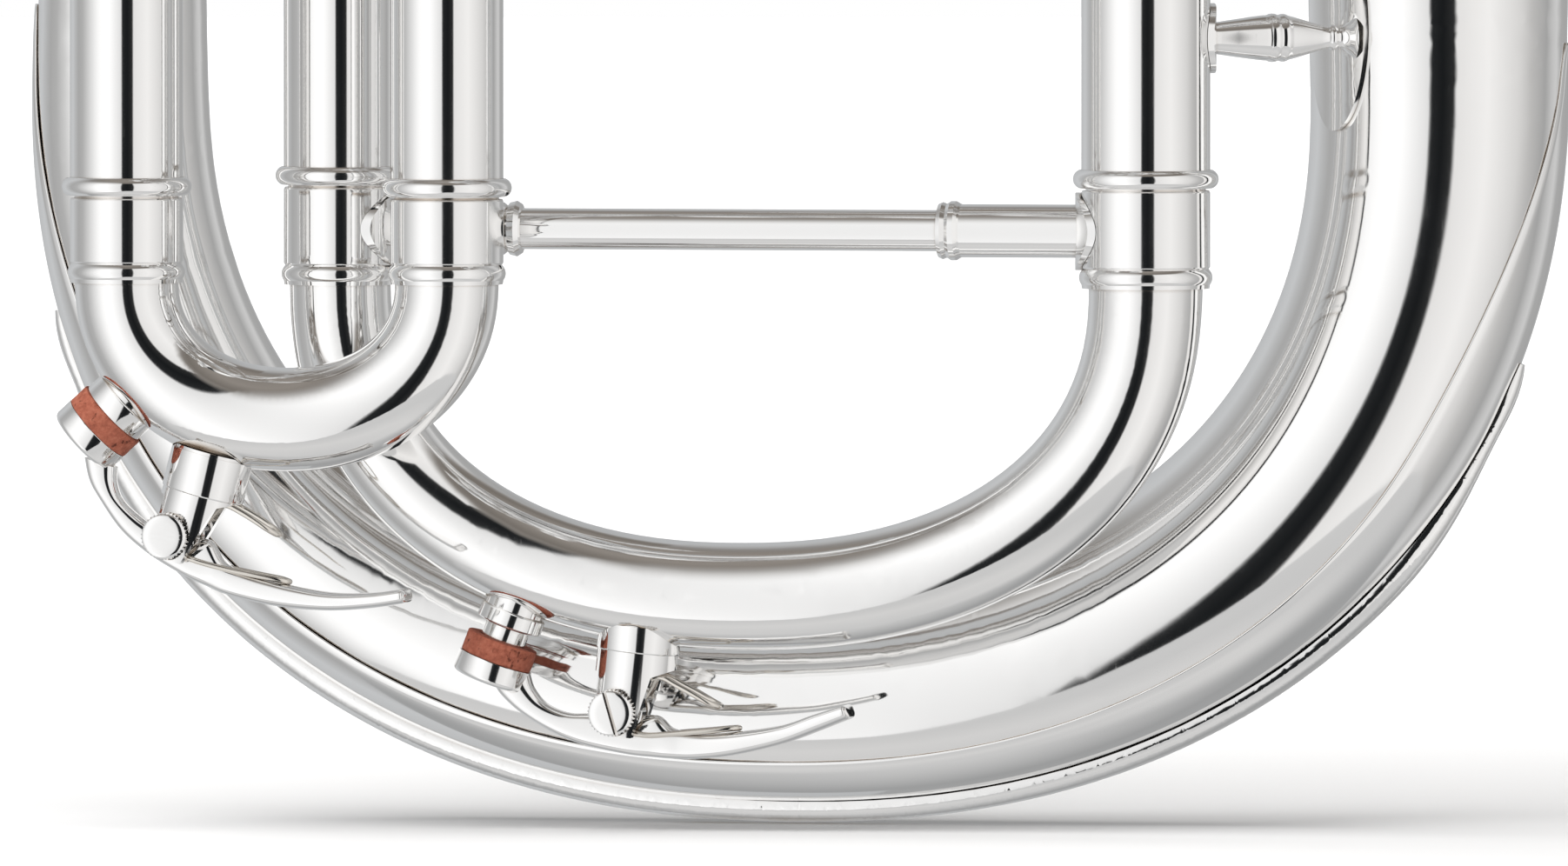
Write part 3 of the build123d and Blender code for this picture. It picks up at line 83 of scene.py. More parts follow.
# ---------------------------------------------------------------- node helpers
class Tree:
    """Short way to add and join shader nodes."""

    def __init__(self, tree):
        self.tree = tree
        self.tree.nodes.clear()

    def add(self, kind, inputs=None, **settings):
        node = self.tree.nodes.new(kind)
        for key, value in settings.items():
            setattr(node, key, value)
        for key, value in (inputs or {}).items():
            self.put(node.inputs[key], value)
        return node

    def put(self, socket, value):
        if isinstance(value, bpy.types.NodeSocket):
            self.tree.links.new(value, socket)
        else:
            socket.default_value = value

    def math(self, operation, a, b=0.0, c=None):
        node = self.add("ShaderNodeMath", {0: a, 1: b}, operation=operation)
        if c is not None:
            self.put(node.inputs[2], c)
        return node.outputs[0]

    def smooth(self, value, low, high, to_low=0.0, to_high=1.0):
        node = self.add("ShaderNodeMapRange", {"Value": value, "From Min": low, "From Max": high,
                                               "To Min": to_low, "To Max": to_high},
                        interpolation_type="SMOOTHSTEP")
        return node.outputs["Result"]

    def mix(self, factor, a, b):
        node = self.add("ShaderNodeMix", data_type="RGBA")
        self.put(node.inputs[0], factor)
        self.put(node.inputs[6], a)
        self.put(node.inputs[7], b)
        return node.outputs[2]

    def ramp(self, value, stops):
        node = self.add("ShaderNodeValToRGB", {"Fac": value})
        elements = node.color_ramp.elements
        while len(elements) > 1:
            elements.remove(elements[-1])
        elements[0].position, elements[0].color = stops[0]
        for position, colour in stops[1:]:
            elements.new(position).color = colour
        return node.outputs["Color"]

    def noise(self, vector, scale, detail=2.0, rough=0.5, distortion=0.0):
        node = self.add("ShaderNodeTexNoise", {"Vector": vector, "Scale": scale, "Detail": detail,
                                               "Roughness": rough, "Distortion": distortion})
        return node.outputs["Fac"]


def grey(level, warm=0.0):
    """Linear colour of a display level from 0 to 1; warm above 0 leans to brown, below to blue."""
    linear = level ** 2.2
    return (linear * (1 + warm), linear, linear * (1 - warm), 1.0)


# ---------------------------------------------------------------- studio
def studio_world():
    """A dark gap stands between a bright diffuser on the left and a paler panel on the right."""
    world = bpy.data.worlds.new("studio")
    scene.world = world
    world.use_nodes = True
    t = Tree(world.node_tree)
    direction = t.add("ShaderNodeTexCoord").outputs["Generated"]
    right = (math.cos(YAW), math.sin(YAW), 0.0)
    front = (math.sin(YAW), -math.cos(YAW), 0.0)

    def along(axis):
        node = t.add("ShaderNodeVectorMath", {0: direction, 1: axis}, operation="DOT_PRODUCT")
        return node.outputs["Value"]

    azimuth = t.math("DEGREES", t.math("ARCTAN2", along(right), along(front)))
    height = t.math("DEGREES", t.math("ARCSINE", along((0.0, 0.0, 1.0))))
    share = t.math("ADD", t.math("DIVIDE", azimuth, 360.0), 0.5)

    def at(degrees):
        return degrees / 360.0 + 0.5

    # Brightness round the horizon, from straight behind on the left to straight behind on the right.
    belt = t.ramp(share, [
        (at(-180), grey(0.72, -0.02)), (at(-140), grey(0.78, -0.02)), (at(-115), grey(0.66)),
        (at(-100), grey(0.69)), (at(-86), grey(0.80)), (at(-72), grey(0.91)), (at(-58), grey(1.01)),
        (at(-40), grey(1.06)), (at(-28), grey(1.0)), (at(-18), grey(0.94)), (at(-9.5), grey(0.89)),
        (at(-8.0), grey(0.17, -0.06)), (at(3.0), grey(0.13, -0.1)), (at(13.5), grey(0.19, -0.02)),
        (at(15.0), grey(0.90, 0.01)), (at(30), grey(0.93, 0.01)), (at(45), grey(0.955, 0.01)),
        (at(62), grey(0.90, 0.01)), (at(78), grey(0.84, 0.01)), (at(92), grey(0.74, 0.01)),
        (at(112), grey(0.64)), (at(124), grey(0.76)), (at(132), grey(0.80)), (at(142), grey(0.66)),
        (at(160), grey(0.64)), (at(180), grey(0.72, -0.02))])
    # Overhead: dim and a little brown. The white diffuser on the left fades into it slowly.
    on_left = t.smooth(azimuth, 0.0, -24.0)
    roof_start = t.math("MULTIPLY_ADD", on_left, -14.0, 42.0)
    roof_end = t.math("MULTIPLY_ADD", on_left, 18.0, 52.0)
    roof = t.add("ShaderNodeMapRange", {"Value": height, "From Min": roof_start, "From Max": roof_end},
                 interpolation_type="SMOOTHSTEP").outputs["Result"]
    overhead = t.ramp(t.math("DIVIDE", height, 90.0), [
        (0.45, grey(0.56, 0.07)), (0.62, grey(0.44, 0.11)), (0.80, grey(0.53, 0.10)),
        (1.0, grey(0.50, 0.10))])
    upper = t.mix(roof, belt, overhead)
    # Below: the table top, whose near edge is seen steeply down.
    table = t.ramp(t.math("DIVIDE", height, -90.0), [
        (0.42, grey(0.80)), (0.56, grey(0.79)), (0.72, grey(0.83, 0.005)), (1.0, grey(0.79))])
    behind = t.smooth(t.math("ABSOLUTE", azimuth), 80.0, 130.0)
    table = t.mix(behind, table, t.ramp(t.math("DIVIDE", height, -90.0), [
        (0.1, grey(0.66, -0.01)), (0.60, grey(0.62, -0.01)), (1.0, grey(0.80))]))
    edge = t.math("MULTIPLY_ADD", on_left, -11.0, -39.0)
    below = t.add("ShaderNodeMapRange", {"Value": height, "From Min": edge,
                                         "From Max": t.math("SUBTRACT", edge, 1.2)},
                  interpolation_type="SMOOTHSTEP").outputs["Result"]
    surround = t.mix(below, upper, table)
    seen = t.add("ShaderNodeLightPath").outputs["Is Camera Ray"]
    colour = t.mix(seen, surround, (1.0, 1.0, 1.0, 1.0))
    background = t.add("ShaderNodeBackground", {"Color": colour, "Strength": 1.0})
    t.add("ShaderNodeOutputWorld", {"Surface": background.outputs["Background"]})


FLOOR_RADIUS = 6.0
FLOOR_Z = -0.0002


def studio_floor():
    """Plain pale floor, and one broad overhead light for it."""
    mesh = bpy.data.meshes.new("floor")
    shape = bmesh.new()
    bmesh.ops.create_circle(shape, cap_ends=True, segments=96, radius=FLOOR_RADIUS)
    shape.to_mesh(mesh)
    shape.free()
    floor = bpy.data.objects.new("floor", mesh)
    scene.collection.objects.link(floor)
    floor.location.z = FLOOR_Z
    floor.visible_glossy = False
    material = bpy.data.materials.new("floor_paper")
    material.use_nodes = True
    t = Tree(material.node_tree)
    place = t.add("ShaderNodeTexCoord").outputs["Object"]
    grain = t.noise(place, 900.0, 3.0)
    colour = t.mix(grain, (0.86, 0.86, 0.86, 1.0), (0.89, 0.89, 0.89, 1.0))
    shader = t.add("ShaderNodeBsdfDiffuse", {"Color": colour})
    t.add("ShaderNodeOutputMaterial", {"Surface": shader.outputs["BSDF"]})
    mesh.materials.append(material)

    lamp_data = bpy.data.lights.new("overhead", "SUN")
    lamp_data.angle = math.radians(70.0)
    lamp_data.energy = 3.1
    lamp = bpy.data.objects.new("overhead", lamp_data)
    lamp.location = (-0.5, -0.7, 2.6)
    lamp.rotation_mode = "QUATERNION"
    lamp.rotation_quaternion = Vector(lamp.location).to_track_quat("Z", "Y")
    lamp.visible_glossy = False
    scene.collection.objects.link(lamp)


studio_world()
studio_floor()


# ---------------------------------------------------------------- materials
def metal(name, bright, dull, low_rough, high_rough):
    """Polished plate: faint buffing haze, hairline marks and tarnish that gathers in the corners."""
    material = bpy.data.materials.new(name)
    material.use_nodes = True
    t = Tree(material.node_tree)
    place = t.add("ShaderNodeTexCoord").outputs["Object"]
    haze = t.noise(place, 38.0, 4.0, 0.6, 0.4)
    stretched = t.add("ShaderNodeMapping", {"Vector": place, "Scale": (1.0, 1.0, 0.06)}).outputs[0]
    hairlines = t.smooth(t.noise(stretched, 2600.0, 2.0, 0.7), 0.60, 0.78)
    fine = t.noise(place, 4200.0, 2.0, 0.6)
    corner = t.add("ShaderNodeAmbientOcclusion", {"Distance": 1.6 * MM}, samples=4,
                   only_local=False).outputs["AO"]
    stain = t.math("MULTIPLY", t.smooth(corner, 0.72, 0.30),
                   t.smooth(haze, 0.30, 0.70, 0.25, 1.0))
    colour = t.mix(stain, t.mix(haze, bright, tuple(c * 0.985 for c in bright[:3]) + (1.0,)), dull)
    rough = t.math("ADD", t.smooth(haze, 0.35, 0.75, low_rough, high_rough),
                   t.math("MULTIPLY", hairlines, 0.05))
    rough = t.math("ADD", rough, t.math("MULTIPLY", stain, 0.16))
    bump = t.add("ShaderNodeBump", {"Height": fine, "Strength": 0.02, "Distance": 0.02 * MM})
    shader = t.add("ShaderNodeBsdfPrincipled", {"Base Color": colour, "Metallic": 1.0,
                                                "Roughness": rough,
                                                "Normal": bump.outputs["Normal"]})
    t.add("ShaderNodeOutputMaterial", {"Surface": shader.outputs["BSDF"]})
    return material


def cork_material():
    """Dense reddish cork with fine grain and pits."""
    material = bpy.data.materials.new("cork_looks")
    material.use_nodes = True
    t = Tree(material.node_tree)
    place = t.add("ShaderNodeTexCoord").outputs["Object"]
    grain = t.noise(place, 1100.0, 5.0, 0.7)
    cells = t.add("ShaderNodeTexVoronoi", {"Vector": place, "Scale": 1500.0}).outputs["Distance"]
    pits = t.smooth(t.noise(place, 700.0, 3.0, 0.6), 0.60, 0.70)
    colour = t.ramp(grain, [(0.25, (0.20, 0.055, 0.033, 1.0)), (0.5, (0.36, 0.108, 0.066, 1.0)),
                            (0.75, (0.46, 0.165, 0.105, 1.0))])
    colour = t.mix(pits, colour, (0.13, 0.035, 0.020, 1.0))
    height = t.math("SUBTRACT", t.math("MULTIPLY", cells, 0.5), pits)
    bump = t.add("ShaderNodeBump", {"Height": height, "Strength": 0.6, "Distance": 0.12 * MM})
    shader = t.add("ShaderNodeBsdfPrincipled", {"Base Color": colour, "Roughness": 0.86,
                                                "Specular IOR Level": 0.3,
                                                "Normal": bump.outputs["Normal"]})
    t.add("ShaderNodeOutputMaterial", {"Surface": shader.outputs["BSDF"]})
    return material


def pearl_material():
    """Mother of pearl: milky layers that shift from cream to a cool grey."""
    material = bpy.data.materials.new("mother_of_pearl")
    material.use_nodes = True
    t = Tree(material.node_tree)
    place = t.add("ShaderNodeTexCoord").outputs["Object"]
    layers = t.noise(place, 120.0, 3.0, 0.5, 1.6)
    colour = t.ramp(layers, [(0.30, (0.86, 0.84, 0.78, 1.0)), (0.48, (0.93, 0.91, 0.90, 1.0)),
                             (0.62, (0.80, 0.84, 0.85, 1.0)), (0.75, (0.92, 0.88, 0.88, 1.0))])
    shader = t.add("ShaderNodeBsdfPrincipled", {"Base Color": colour, "Roughness": 0.16,
                                                "Coat Weight": 0.6, "Coat Roughness": 0.05})
    t.add("ShaderNodeOutputMaterial", {"Surface": shader.outputs["BSDF"]})
    return material


silver = metal("silver_plate_looks", (0.965, 0.960, 0.953, 1.0), (0.50, 0.42, 0.34, 1.0), 0.05, 0.10)
nickel = metal("nickel_plate_looks", (0.86, 0.83, 0.79, 1.0), (0.42, 0.38, 0.33, 1.0), 0.10, 0.20)
steel = metal("spring_steel_looks", (0.80, 0.76, 0.70, 1.0), (0.34, 0.27, 0.21, 1.0), 0.14, 0.24)
cork = cork_material()
looks = {"silver_plate": silver, "nickel_plate": nickel, "spring_steel": steel, "cork": cork}
for item in nodes.values():
    for place in item.material_slots:
        place.material = looks[place.material.name.split(".")[0]]


# ---------------------------------------------------------------- mesh helpers, in millimetres
CREASE = 38.0         # edges sharper than this angle, in degrees, stay sharp


def finished(name, shape, body, material, replaces=(), crease=CREASE):
    """Turn a bmesh in millimetres into a smooth-shaded piece that rides on a body."""
    bmesh.ops.remove_doubles(shape, verts=shape.verts, dist=1e-5)
    bmesh.ops.recalc_face_normals(shape, faces=shape.faces)
    bmesh.ops.scale(shape, vec=(MM, MM, MM), verts=shape.verts)
    mesh = bpy.data.meshes.new(name)
    shape.to_mesh(mesh)
    shape.free()
    mesh.shade_smooth()
    mesh.set_sharp_from_angle(angle=math.radians(crease))
    mesh.materials.append(material)
    piece = bpy.data.objects.new(name, mesh)
    scene.collection.objects.link(piece)
    if body:
        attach(piece, body)
    if replaces:
        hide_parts(*replaces)
    return piece


def skin(shape, rings, loop=False):
    """Join rings of points with quads. Without a loop, one face closes each end."""
    rows = [[shape.verts.new(point) for point in ring] for ring in rings]
    pairs = list(zip(rows, rows[1:]))
    if loop:
        pairs.append((rows[-1], rows[0]))
    for a, b in pairs:
        for i in range(len(a)):
            j = (i + 1) % len(a)
            shape.faces.new((a[i], a[j], b[j], b[i]))
    if not loop:
        shape.faces.new(rows[0][::-1])
        shape.faces.new(rows[-1])


def across(axis):
    """Two unit vectors square to an axis."""
    first = axis.orthogonal().normalized()
    return first, axis.cross(first).normalized()


def lathe(shape, origin, axis, profile, sides=96, teeth=0, depth=0.0, toothed=()):
    """Solid of revolution; profile lists (distance, radius), and toothed rings get notches.

    Its ends are closed by flat faces, so a profile that ends on a hole's edge gives no open hole.
    """
    origin, axis = Vector(origin), Vector(axis).normalized()
    u, v = across(axis)
    rings = []
    for index, (distance, radius) in enumerate(profile):
        ring = []
        for k in range(sides):
            angle = 2 * math.pi * k / sides
            r = radius
            if index in toothed:
                r -= depth * (0.5 - 0.5 * math.cos(teeth * angle)) ** 0.6
            outward = u * math.cos(angle) + v * math.sin(angle)
            ring.append(origin + axis * distance + outward * max(r, 1e-3))
        rings.append(ring)
    skin(shape, rings)


def curve_through(points, steps, closed=False):
    """Smooth line through the given points."""
    count = len(points)
    line = []
    for i in range(count if closed else count - 1):
        if closed:
            p0, p1, p2, p3 = (points[(i + k) % count] for k in (-1, 0, 1, 2))
        else:
            p0, p1 = points[max(i - 1, 0)], points[i]
            p2, p3 = points[i + 1], points[min(i + 2, count - 1)]
        for k in range(steps):
            f = k / steps
            line.append(0.5 * (2 * p1 + (p2 - p0) * f + (2 * p0 - 5 * p1 + 4 * p2 - p3) * f * f
                               + (3 * p1 - p0 - 3 * p2 + p3) * f ** 3))
    if not closed:
        line.append(points[-1].copy())
    return line


def wire(shape, line, radius, sides=14, closed=False):
    """Round wire along a line of points, without twist."""
    count = len(line)
    tangents = []
    for i in range(count):
        ahead = line[(i + 1) % count] if closed or i + 1 < count else line[i]
        back = line[i - 1] if closed or i > 0 else line[i]
        tangents.append((ahead - back).normalized())
    u = tangents[0].orthogonal().normalized()
    frames = []
    for tangent in tangents:
        u = (u - tangent * u.dot(tangent)).normalized()
        frames.append((u.copy(), tangent.cross(u).normalized()))
    # The last frame of a closed wire is turned back onto the first one, little by little.
    slip = 0.0
    if closed:
        end = frames[-1][0]
        end = (end - tangents[0] * end.dot(tangents[0])).normalized()
        slip = math.atan2(end.dot(frames[0][1]), end.dot(frames[0][0]))
    rings = []
    for i, (u, v) in enumerate(frames):
        back = -slip * i / count
        rings.append([line[i] + (u * math.cos(a + back) + v * math.sin(a + back)) * radius
                      for a in (2 * math.pi * k / sides for k in range(sides))])
    skin(shape, rings, loop=closed)


# ---------------------------------------------------------------- water keys
class KeyFrame:
    """Places of one water key, given from its pivot: x to the right, z up, and sideways."""

    def __init__(self, joint, tilt, cork_at, cork_lean, cork_r, cup_r):
        row = next(j for j in frame["joints"] if j["name"] == joint)
        self.pivot = Vector(row["pos_m"]) / MM
        self.post_w = Vector((-math.sin(math.radians(tilt)), 0, -math.cos(math.radians(tilt))))
        self.post_t = Vector((math.cos(math.radians(tilt)), 0, -math.sin(math.radians(tilt))))
        self.w = Vector((-math.sin(math.radians(cork_lean)), 0, -math.cos(math.radians(cork_lean))))
        self.cork = self.at(*cork_at)
        self.cork_r = cork_r
        self.cup_r = cup_r

    def at(self, x, z, side=0.0):
        return self.pivot + Vector((x, side, z))

    def post(self, t, w, side=0.0):
        """Point measured from the pivot in the bracket's directions."""
        return self.pivot + self.post_t * t + self.post_w * w + Vector((0, side, 0))


CORK_HEIGHT = 3.2
CUP_HEIGHT = 3.4
HEAD_SEAT = 4.3
HEAD_R = 3.5
HEAD_HEIGHT = 4.1
SHANK_R = 1.25
WIRE_R = 0.45
COIL_R = 2.6
COIL_SIDE = 2.6
COIL_START = 20.0            # degrees
COIL_SWEEP = 620.0
COIL_STEPS = 40
LEVER_WIDTH = 2.1            # half width of the lever, and how much its tip adds
LEVER_TIP_WIDTH = 2.3
COLLAR_TOP = 13.0
FRONT = Vector((0, -1, 0))


def cut(piece, cutter_shape):
    """Take a bmesh in millimetres out of a piece, for good."""
    mesh = bpy.data.meshes.new("cutter")
    bmesh.ops.recalc_face_normals(cutter_shape, faces=cutter_shape.faces)
    bmesh.ops.scale(cutter_shape, vec=(MM, MM, MM), verts=cutter_shape.verts)
    cutter_shape.to_mesh(mesh)
    cutter_shape.free()
    tool = bpy.data.objects.new("cutter", mesh)
    scene.collection.objects.link(tool)
    step = piece.modifiers.new("cut", "BOOLEAN")
    step.operation = "DIFFERENCE"
    step.solver = "EXACT"
    step.object = tool
    bpy.context.view_layer.update()
    done = bpy.data.meshes.new_from_object(piece.evaluated_get(bpy.context.evaluated_depsgraph_get()))
    piece.modifiers.clear()
    piece.data = done
    bpy.data.objects.remove(tool)
    done.shade_smooth()
    done.set_sharp_from_angle(angle=math.radians(CREASE))


def block(middle, x_axis, y_axis, z_axis, size):
    """Box with the given axes and full sizes."""
    shape = bmesh.new()
    bmesh.ops.create_cube(shape, size=1.0)
    turn = Matrix((x_axis, y_axis, z_axis)).transposed()
    for vertex in shape.verts:
        local = Vector((vertex.co.x * size[0], vertex.co.y * size[1], vertex.co.z * size[2]))
        vertex.co = middle + turn @ local
    return shape


def key_screw(prefix, key, slide, slot_angle):
    """Head of the pivot screw: knurled rim, rounded face with a driver slot.

    The shank is built too, but the cut of the slot drops it, so the finished piece has none.
    """
    shape = bmesh.new()
    r, h = HEAD_R, HEAD_HEIGHT
    profile = ((0.0, r - 0.5), (0.25, r - 0.15), (0.4, r), (0.5, r), (h - 0.7, r), (h - 0.5, r),
               (h - 0.3, r - 0.2), (h - 0.15, r - 0.4), (h - 0.05, r - 0.8), (h, r - 1.6), (h, 0.02))
    origin = key.pivot + FRONT * HEAD_SEAT
    lathe(shape, origin, FRONT, profile, sides=360, teeth=36, depth=0.26, toothed=(2, 3, 4, 5))
    lathe(shape, origin, -FRONT,
          ((-0.3, SHANK_R), (HEAD_SEAT + 4.2, SHANK_R), (HEAD_SEAT + 4.6, 1.0)), sides=48)
    piece = finished(f"{prefix}_screw_head", shape, slide, silver, (f"{prefix}_screw",))
    angle = math.radians(slot_angle)
    along = Vector((math.cos(angle), 0, math.sin(angle)))
    up = along.cross(FRONT).normalized()
    middle = origin + FRONT * HEAD_HEIGHT
    cut(piece, block(middle, along, up, FRONT, (2 * HEAD_R + 1.0, 0.62, 1.7)))


def key_cork(prefix, key, body):
    """Cork disc with crisp edges and a finely pitted, slightly crushed rim."""
    shape = bmesh.new()
    half, r = CORK_HEIGHT / 2, key.cork_r
    profile = [(-half, 0.02), (-half, 2.2), (-half + 0.15, 2.5), (-half + 0.15, 3.3), (-half, 3.6),
               (-half, r - 0.5), (-half, r - 0.2), (-half + 0.06, r - 0.06), (-half + 0.16, r)]
    profile += [(-half + 0.16 + 0.24 * k, r) for k in range(1, 12)]
    profile += [(half - 0.16, r), (half - 0.05, r - 0.06), (half, r - 0.2), (half, 0.02)]
    lathe(shape, key.cork, key.w, profile, sides=180)
    for vertex in shape.verts:
        out = vertex.co - key.cork
        out -= key.w * out.dot(key.w)
        if out.length > r - 0.15:
            rough = noise.noise(vertex.co * 0.6) * 0.06 + noise.noise(vertex.co * 3.1) * 0.035
            vertex.co += out.normalized() * (rough - 0.05)
    finished(f"{prefix}_cork_disc", shape, body, cork, (f"{prefix}_cork",))


def key_seat(prefix, key, slide, profile):
    """Drain nipple, without its hole: a short neck on the cork, under a wide soldered flange."""
    shape = bmesh.new()
    lathe(shape, key.cork - key.w * (CORK_HEIGHT / 2 - 0.15), -key.w, profile, sides=120)
    finished(f"{prefix}_nipple", shape, slide, silver, (f"{prefix}_seat",))


def key_lever(prefix, key, body, sections):
    """Cast lever: a round cup, a barrel on the screw and a curved arm that widens to a finger rest."""
    shape = bmesh.new()
    steps = 10
    low = curve_through([key.at(*row[0]) for row in sections], steps)
    high = curve_through([key.at(*row[1]) for row in sections], steps)
    count = len(low) - 1
    tip = 9
    # The last stations close the tip in a half round.
    shares = [(i / count, 1.0) for i in range(count - 2)]
    for k in range(tip + 1):
        a = math.pi / 2 * k / tip
        shares.append(((count - 2 + 2 * math.sin(a)) / count, max(math.cos(a), 0.04)))
    rings = []
    for share, shrink in shares:
        place = share * count
        i = min(int(place), count - 1)
        a, b = low[i].lerp(low[i + 1], place - i), high[i].lerp(high[i + 1], place - i)
        middle, half = (a + b) / 2, (a - b) / 2
        wide = LEVER_WIDTH + LEVER_TIP_WIDTH * max(0.0, (share - 0.60) / 0.40) ** 1.5
        ring = []
        for step in range(36):
            turn = 2 * math.pi * step / 36
            c, d = math.cos(turn), math.sin(turn)
            flat_c = math.copysign(abs(c) ** 0.72, c)
            flat_d = math.copysign(abs(d) ** 0.60, d)
            # The finger side is dished a little towards the tip.
            dish = 0.35 * max(0.0, (share - 0.78) / 0.22) * max(0.0, -c) * (1 - d * d)
            sideways = Vector((0, flat_d * wide * shrink ** 0.7, 0))
            ring.append(middle + half * (flat_c * shrink + dish) + sideways)
        rings.append(ring)
    skin(shape, rings)
    r = key.cup_r
    lathe(shape, key.cork + key.w * (CORK_HEIGHT / 2), key.w,
          ((0.0, r - 0.3), (0.0, r - 0.06), (0.06, r), (2.55, r), (2.75, r - 0.04), (3.0, r - 0.18),
           (3.2, r - 0.45), (3.32, r - 0.9), (CUP_HEIGHT, r - 1.6), (CUP_HEIGHT, 0.02)), sides=120)
    lathe(shape, key.pivot + FRONT * 2.0, -FRONT,
          ((0.0, 1.4), (0.0, 3.4), (0.25, 3.7), (3.75, 3.7), (4.0, 3.4), (4.0, 1.4)), sides=72)
    lathe(shape, key.pivot + FRONT * 3.1, -FRONT,
          ((0.0, 1.31), (0.0, 1.9), (0.1, 2.0), (6.1, 2.0), (6.2, 1.9), (6.2, 1.31)), sides=60)
    finished(f"{prefix}_lever_cast", shape, body, silver, (f"{prefix}_lever",))


def key_spring(prefix, key, hairpin, arm):
    """One wire: a hairpin under the crook, a coil each side of the lever, a loop on the lever."""
    half = list(hairpin)
    for k in range(COIL_STEPS + 1):
        angle = math.radians(COIL_START + COIL_SWEEP * k / COIL_STEPS)
        half.append((COIL_R * math.cos(angle), COIL_R * math.sin(angle),
                     COIL_SIDE + 0.75 - 1.5 * k / COIL_STEPS))
    half += arm
    points = [key.at(x, z, s) for x, z, s in half]
    points += [key.at(x, z, -s) for x, z, s in half[::-1]]
    shape = bmesh.new()
    wire(shape, curve_through(points, 4, closed=True), WIRE_R * 0.97, closed=True)
    piece = finished(f"{prefix}_spring_wire", shape, None, steel, (f"{prefix}_spring",))
    key.post(0, -1.5) * MM
    key.post(0, 2.5) * MM
    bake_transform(piece)


def key_post_collar(prefix, key, slide, offset, seam):
    """Raised foot of the bracket's post, with the fine seam where it is soldered."""
    shape = bmesh.new()
    lathe(shape, key.post(offset, -seam), -key.post_w,
          ((0.0, 5.95), (0.0, 6.02), (0.10, 6.14), (0.25, 6.18), (COLLAR_TOP - seam, 6.18),
           (COLLAR_TOP - seam, 5.5)), sides=120)
    finished(f"{prefix}_post_collar", shape, slide, silver)


# Sections of the levers from the pivot: outer edge and inner edge, each as x and z.
MAIN_LEVER = (
    ((-19.0, 4.3), (-13.6, 5.4)), ((-17.9, 2.4), (-12.9, 3.3)), ((-14.9, -0.3), (-10.9, 1.0)),
    ((-10.3, -3.1), (-7.6, -0.3)), ((-5.6, -5.0), (-3.9, -0.4)), ((1.1, -6.4), (0.6, -1.0)),
    ((5.0, -6.8), (5.6, -0.6)), ((8.0, -7.0), (8.2, -2.5)), ((12.0, -7.0), (12.0, -3.2)),
    ((17.4, -6.4), (17.0, -3.0)), ((24.7, -4.7), (24.3, -1.8)), ((30.3, -2.7), (29.5, 0.1)),
    ((35.4, -0.7), (34.4, 1.7)))
THIRD_LEVER = (
    ((-13.4, 11.4), (-8.6, 9.9)), ((-12.7, 8.2), (-8.6, 7.5)), ((-11.2, 5.4), (-7.6, 5.0)),
    ((-7.9, 0.7), (-5.0, 2.6)), ((-3.7, -2.9), (-2.6, 1.0)), ((1.5, -6.0), (1.0, -1.0)),
    ((5.0, -7.6), (5.5, -0.8)), ((8.3, -8.9), (8.3, -4.5)), ((15.5, -10.5), (15.5, -6.9)),
    ((23.3, -11.1), (23.2, -8.3)), ((30.1, -10.7), (29.9, -8.2)), ((35.7, -9.9), (35.3, -7.4)))
MAIN_HAIRPIN = ((15.2, 0.8, 0.7), (14.9, 0.9, 1.6), (13.6, 1.5, 2.4), (11.3, 2.8, 2.6), (9.0, 4.0, 2.6),
                (7.4, 4.9, 2.6), (6.2, 5.2, 2.6), (5.0, 4.7, 2.8), (4.1, 3.4, 3.1))
MAIN_ARM = ((2.6, -3.2, 2.2), (5.0, -3.5, 2.1), (9.0, -3.2, 1.9), (13.5, -2.8, 1.7), (16.4, -2.5, 1.4),
            (17.6, -2.4, 0.9), (18.0, -2.4, 0.3))
THIRD_HAIRPIN = ((16.0, 0.1, 0.7), (15.6, 0.3, 1.6), (14.4, 1.1, 2.4), (12.6, 2.3, 2.6), (10.4, 3.6, 2.6),
                 (8.8, 4.4, 2.6), (7.4, 4.7, 2.6), (5.9, 4.4, 2.8), (4.6, 3.4, 3.1))
THIRD_ARM = ((2.6, -3.4, 2.2), (5.0, -4.2, 2.1), (9.0, -5.2, 1.9), (13.0, -6.0, 1.7), (15.8, -6.5, 1.4),
             (17.0, -6.8, 0.9), (17.4, -6.9, 0.3))
main_key = KeyFrame("main_key_open", 6.0, (-18.2, 8.9), 20.5, 5.45, 5.65)
third_key = KeyFrame("third_key_open", 15.0, (-10.4, 16.8), 47.0, 5.75, 5.75)
key_seat("main_key", main_key, "main_slide", (
    (0.0, 2.2), (0.0, 3.25), (0.1, 3.4), (2.3, 3.4), (2.5, 3.6), (2.6, 4.7), (2.75, 4.95), (4.6, 4.95),
    (4.75, 4.8), (4.9, 4.5), (8.4, 4.5), (8.4, 2.2)))
key_seat("third_key", third_key, "third_slide", (
    (0.0, 2.2), (0.0, 5.0), (0.15, 5.3), (0.3, 5.35), (3.0, 5.35), (3.15, 5.2), (3.3, 4.9), (6.6, 4.9),
    (6.6, 2.2)))
for prefix, key, slide, sections, hairpin, arm, slot_angle, offset, seam in (
        ("main_key", main_key, "main_slide", MAIN_LEVER, MAIN_HAIRPIN, MAIN_ARM, 106.0, 1.8, 9.1),
        ("third_key", third_key, "third_slide", THIRD_LEVER, THIRD_HAIRPIN, THIRD_ARM, -3.0, 2.6, 6.9)):
    key_screw(prefix, key, slide, slot_angle)
    key_cork(prefix, key, prefix)
    key_lever(prefix, key, prefix, sections)
    key_spring(prefix, key, hairpin, arm)
    key_post_collar(prefix, key, slide, offset, seam)


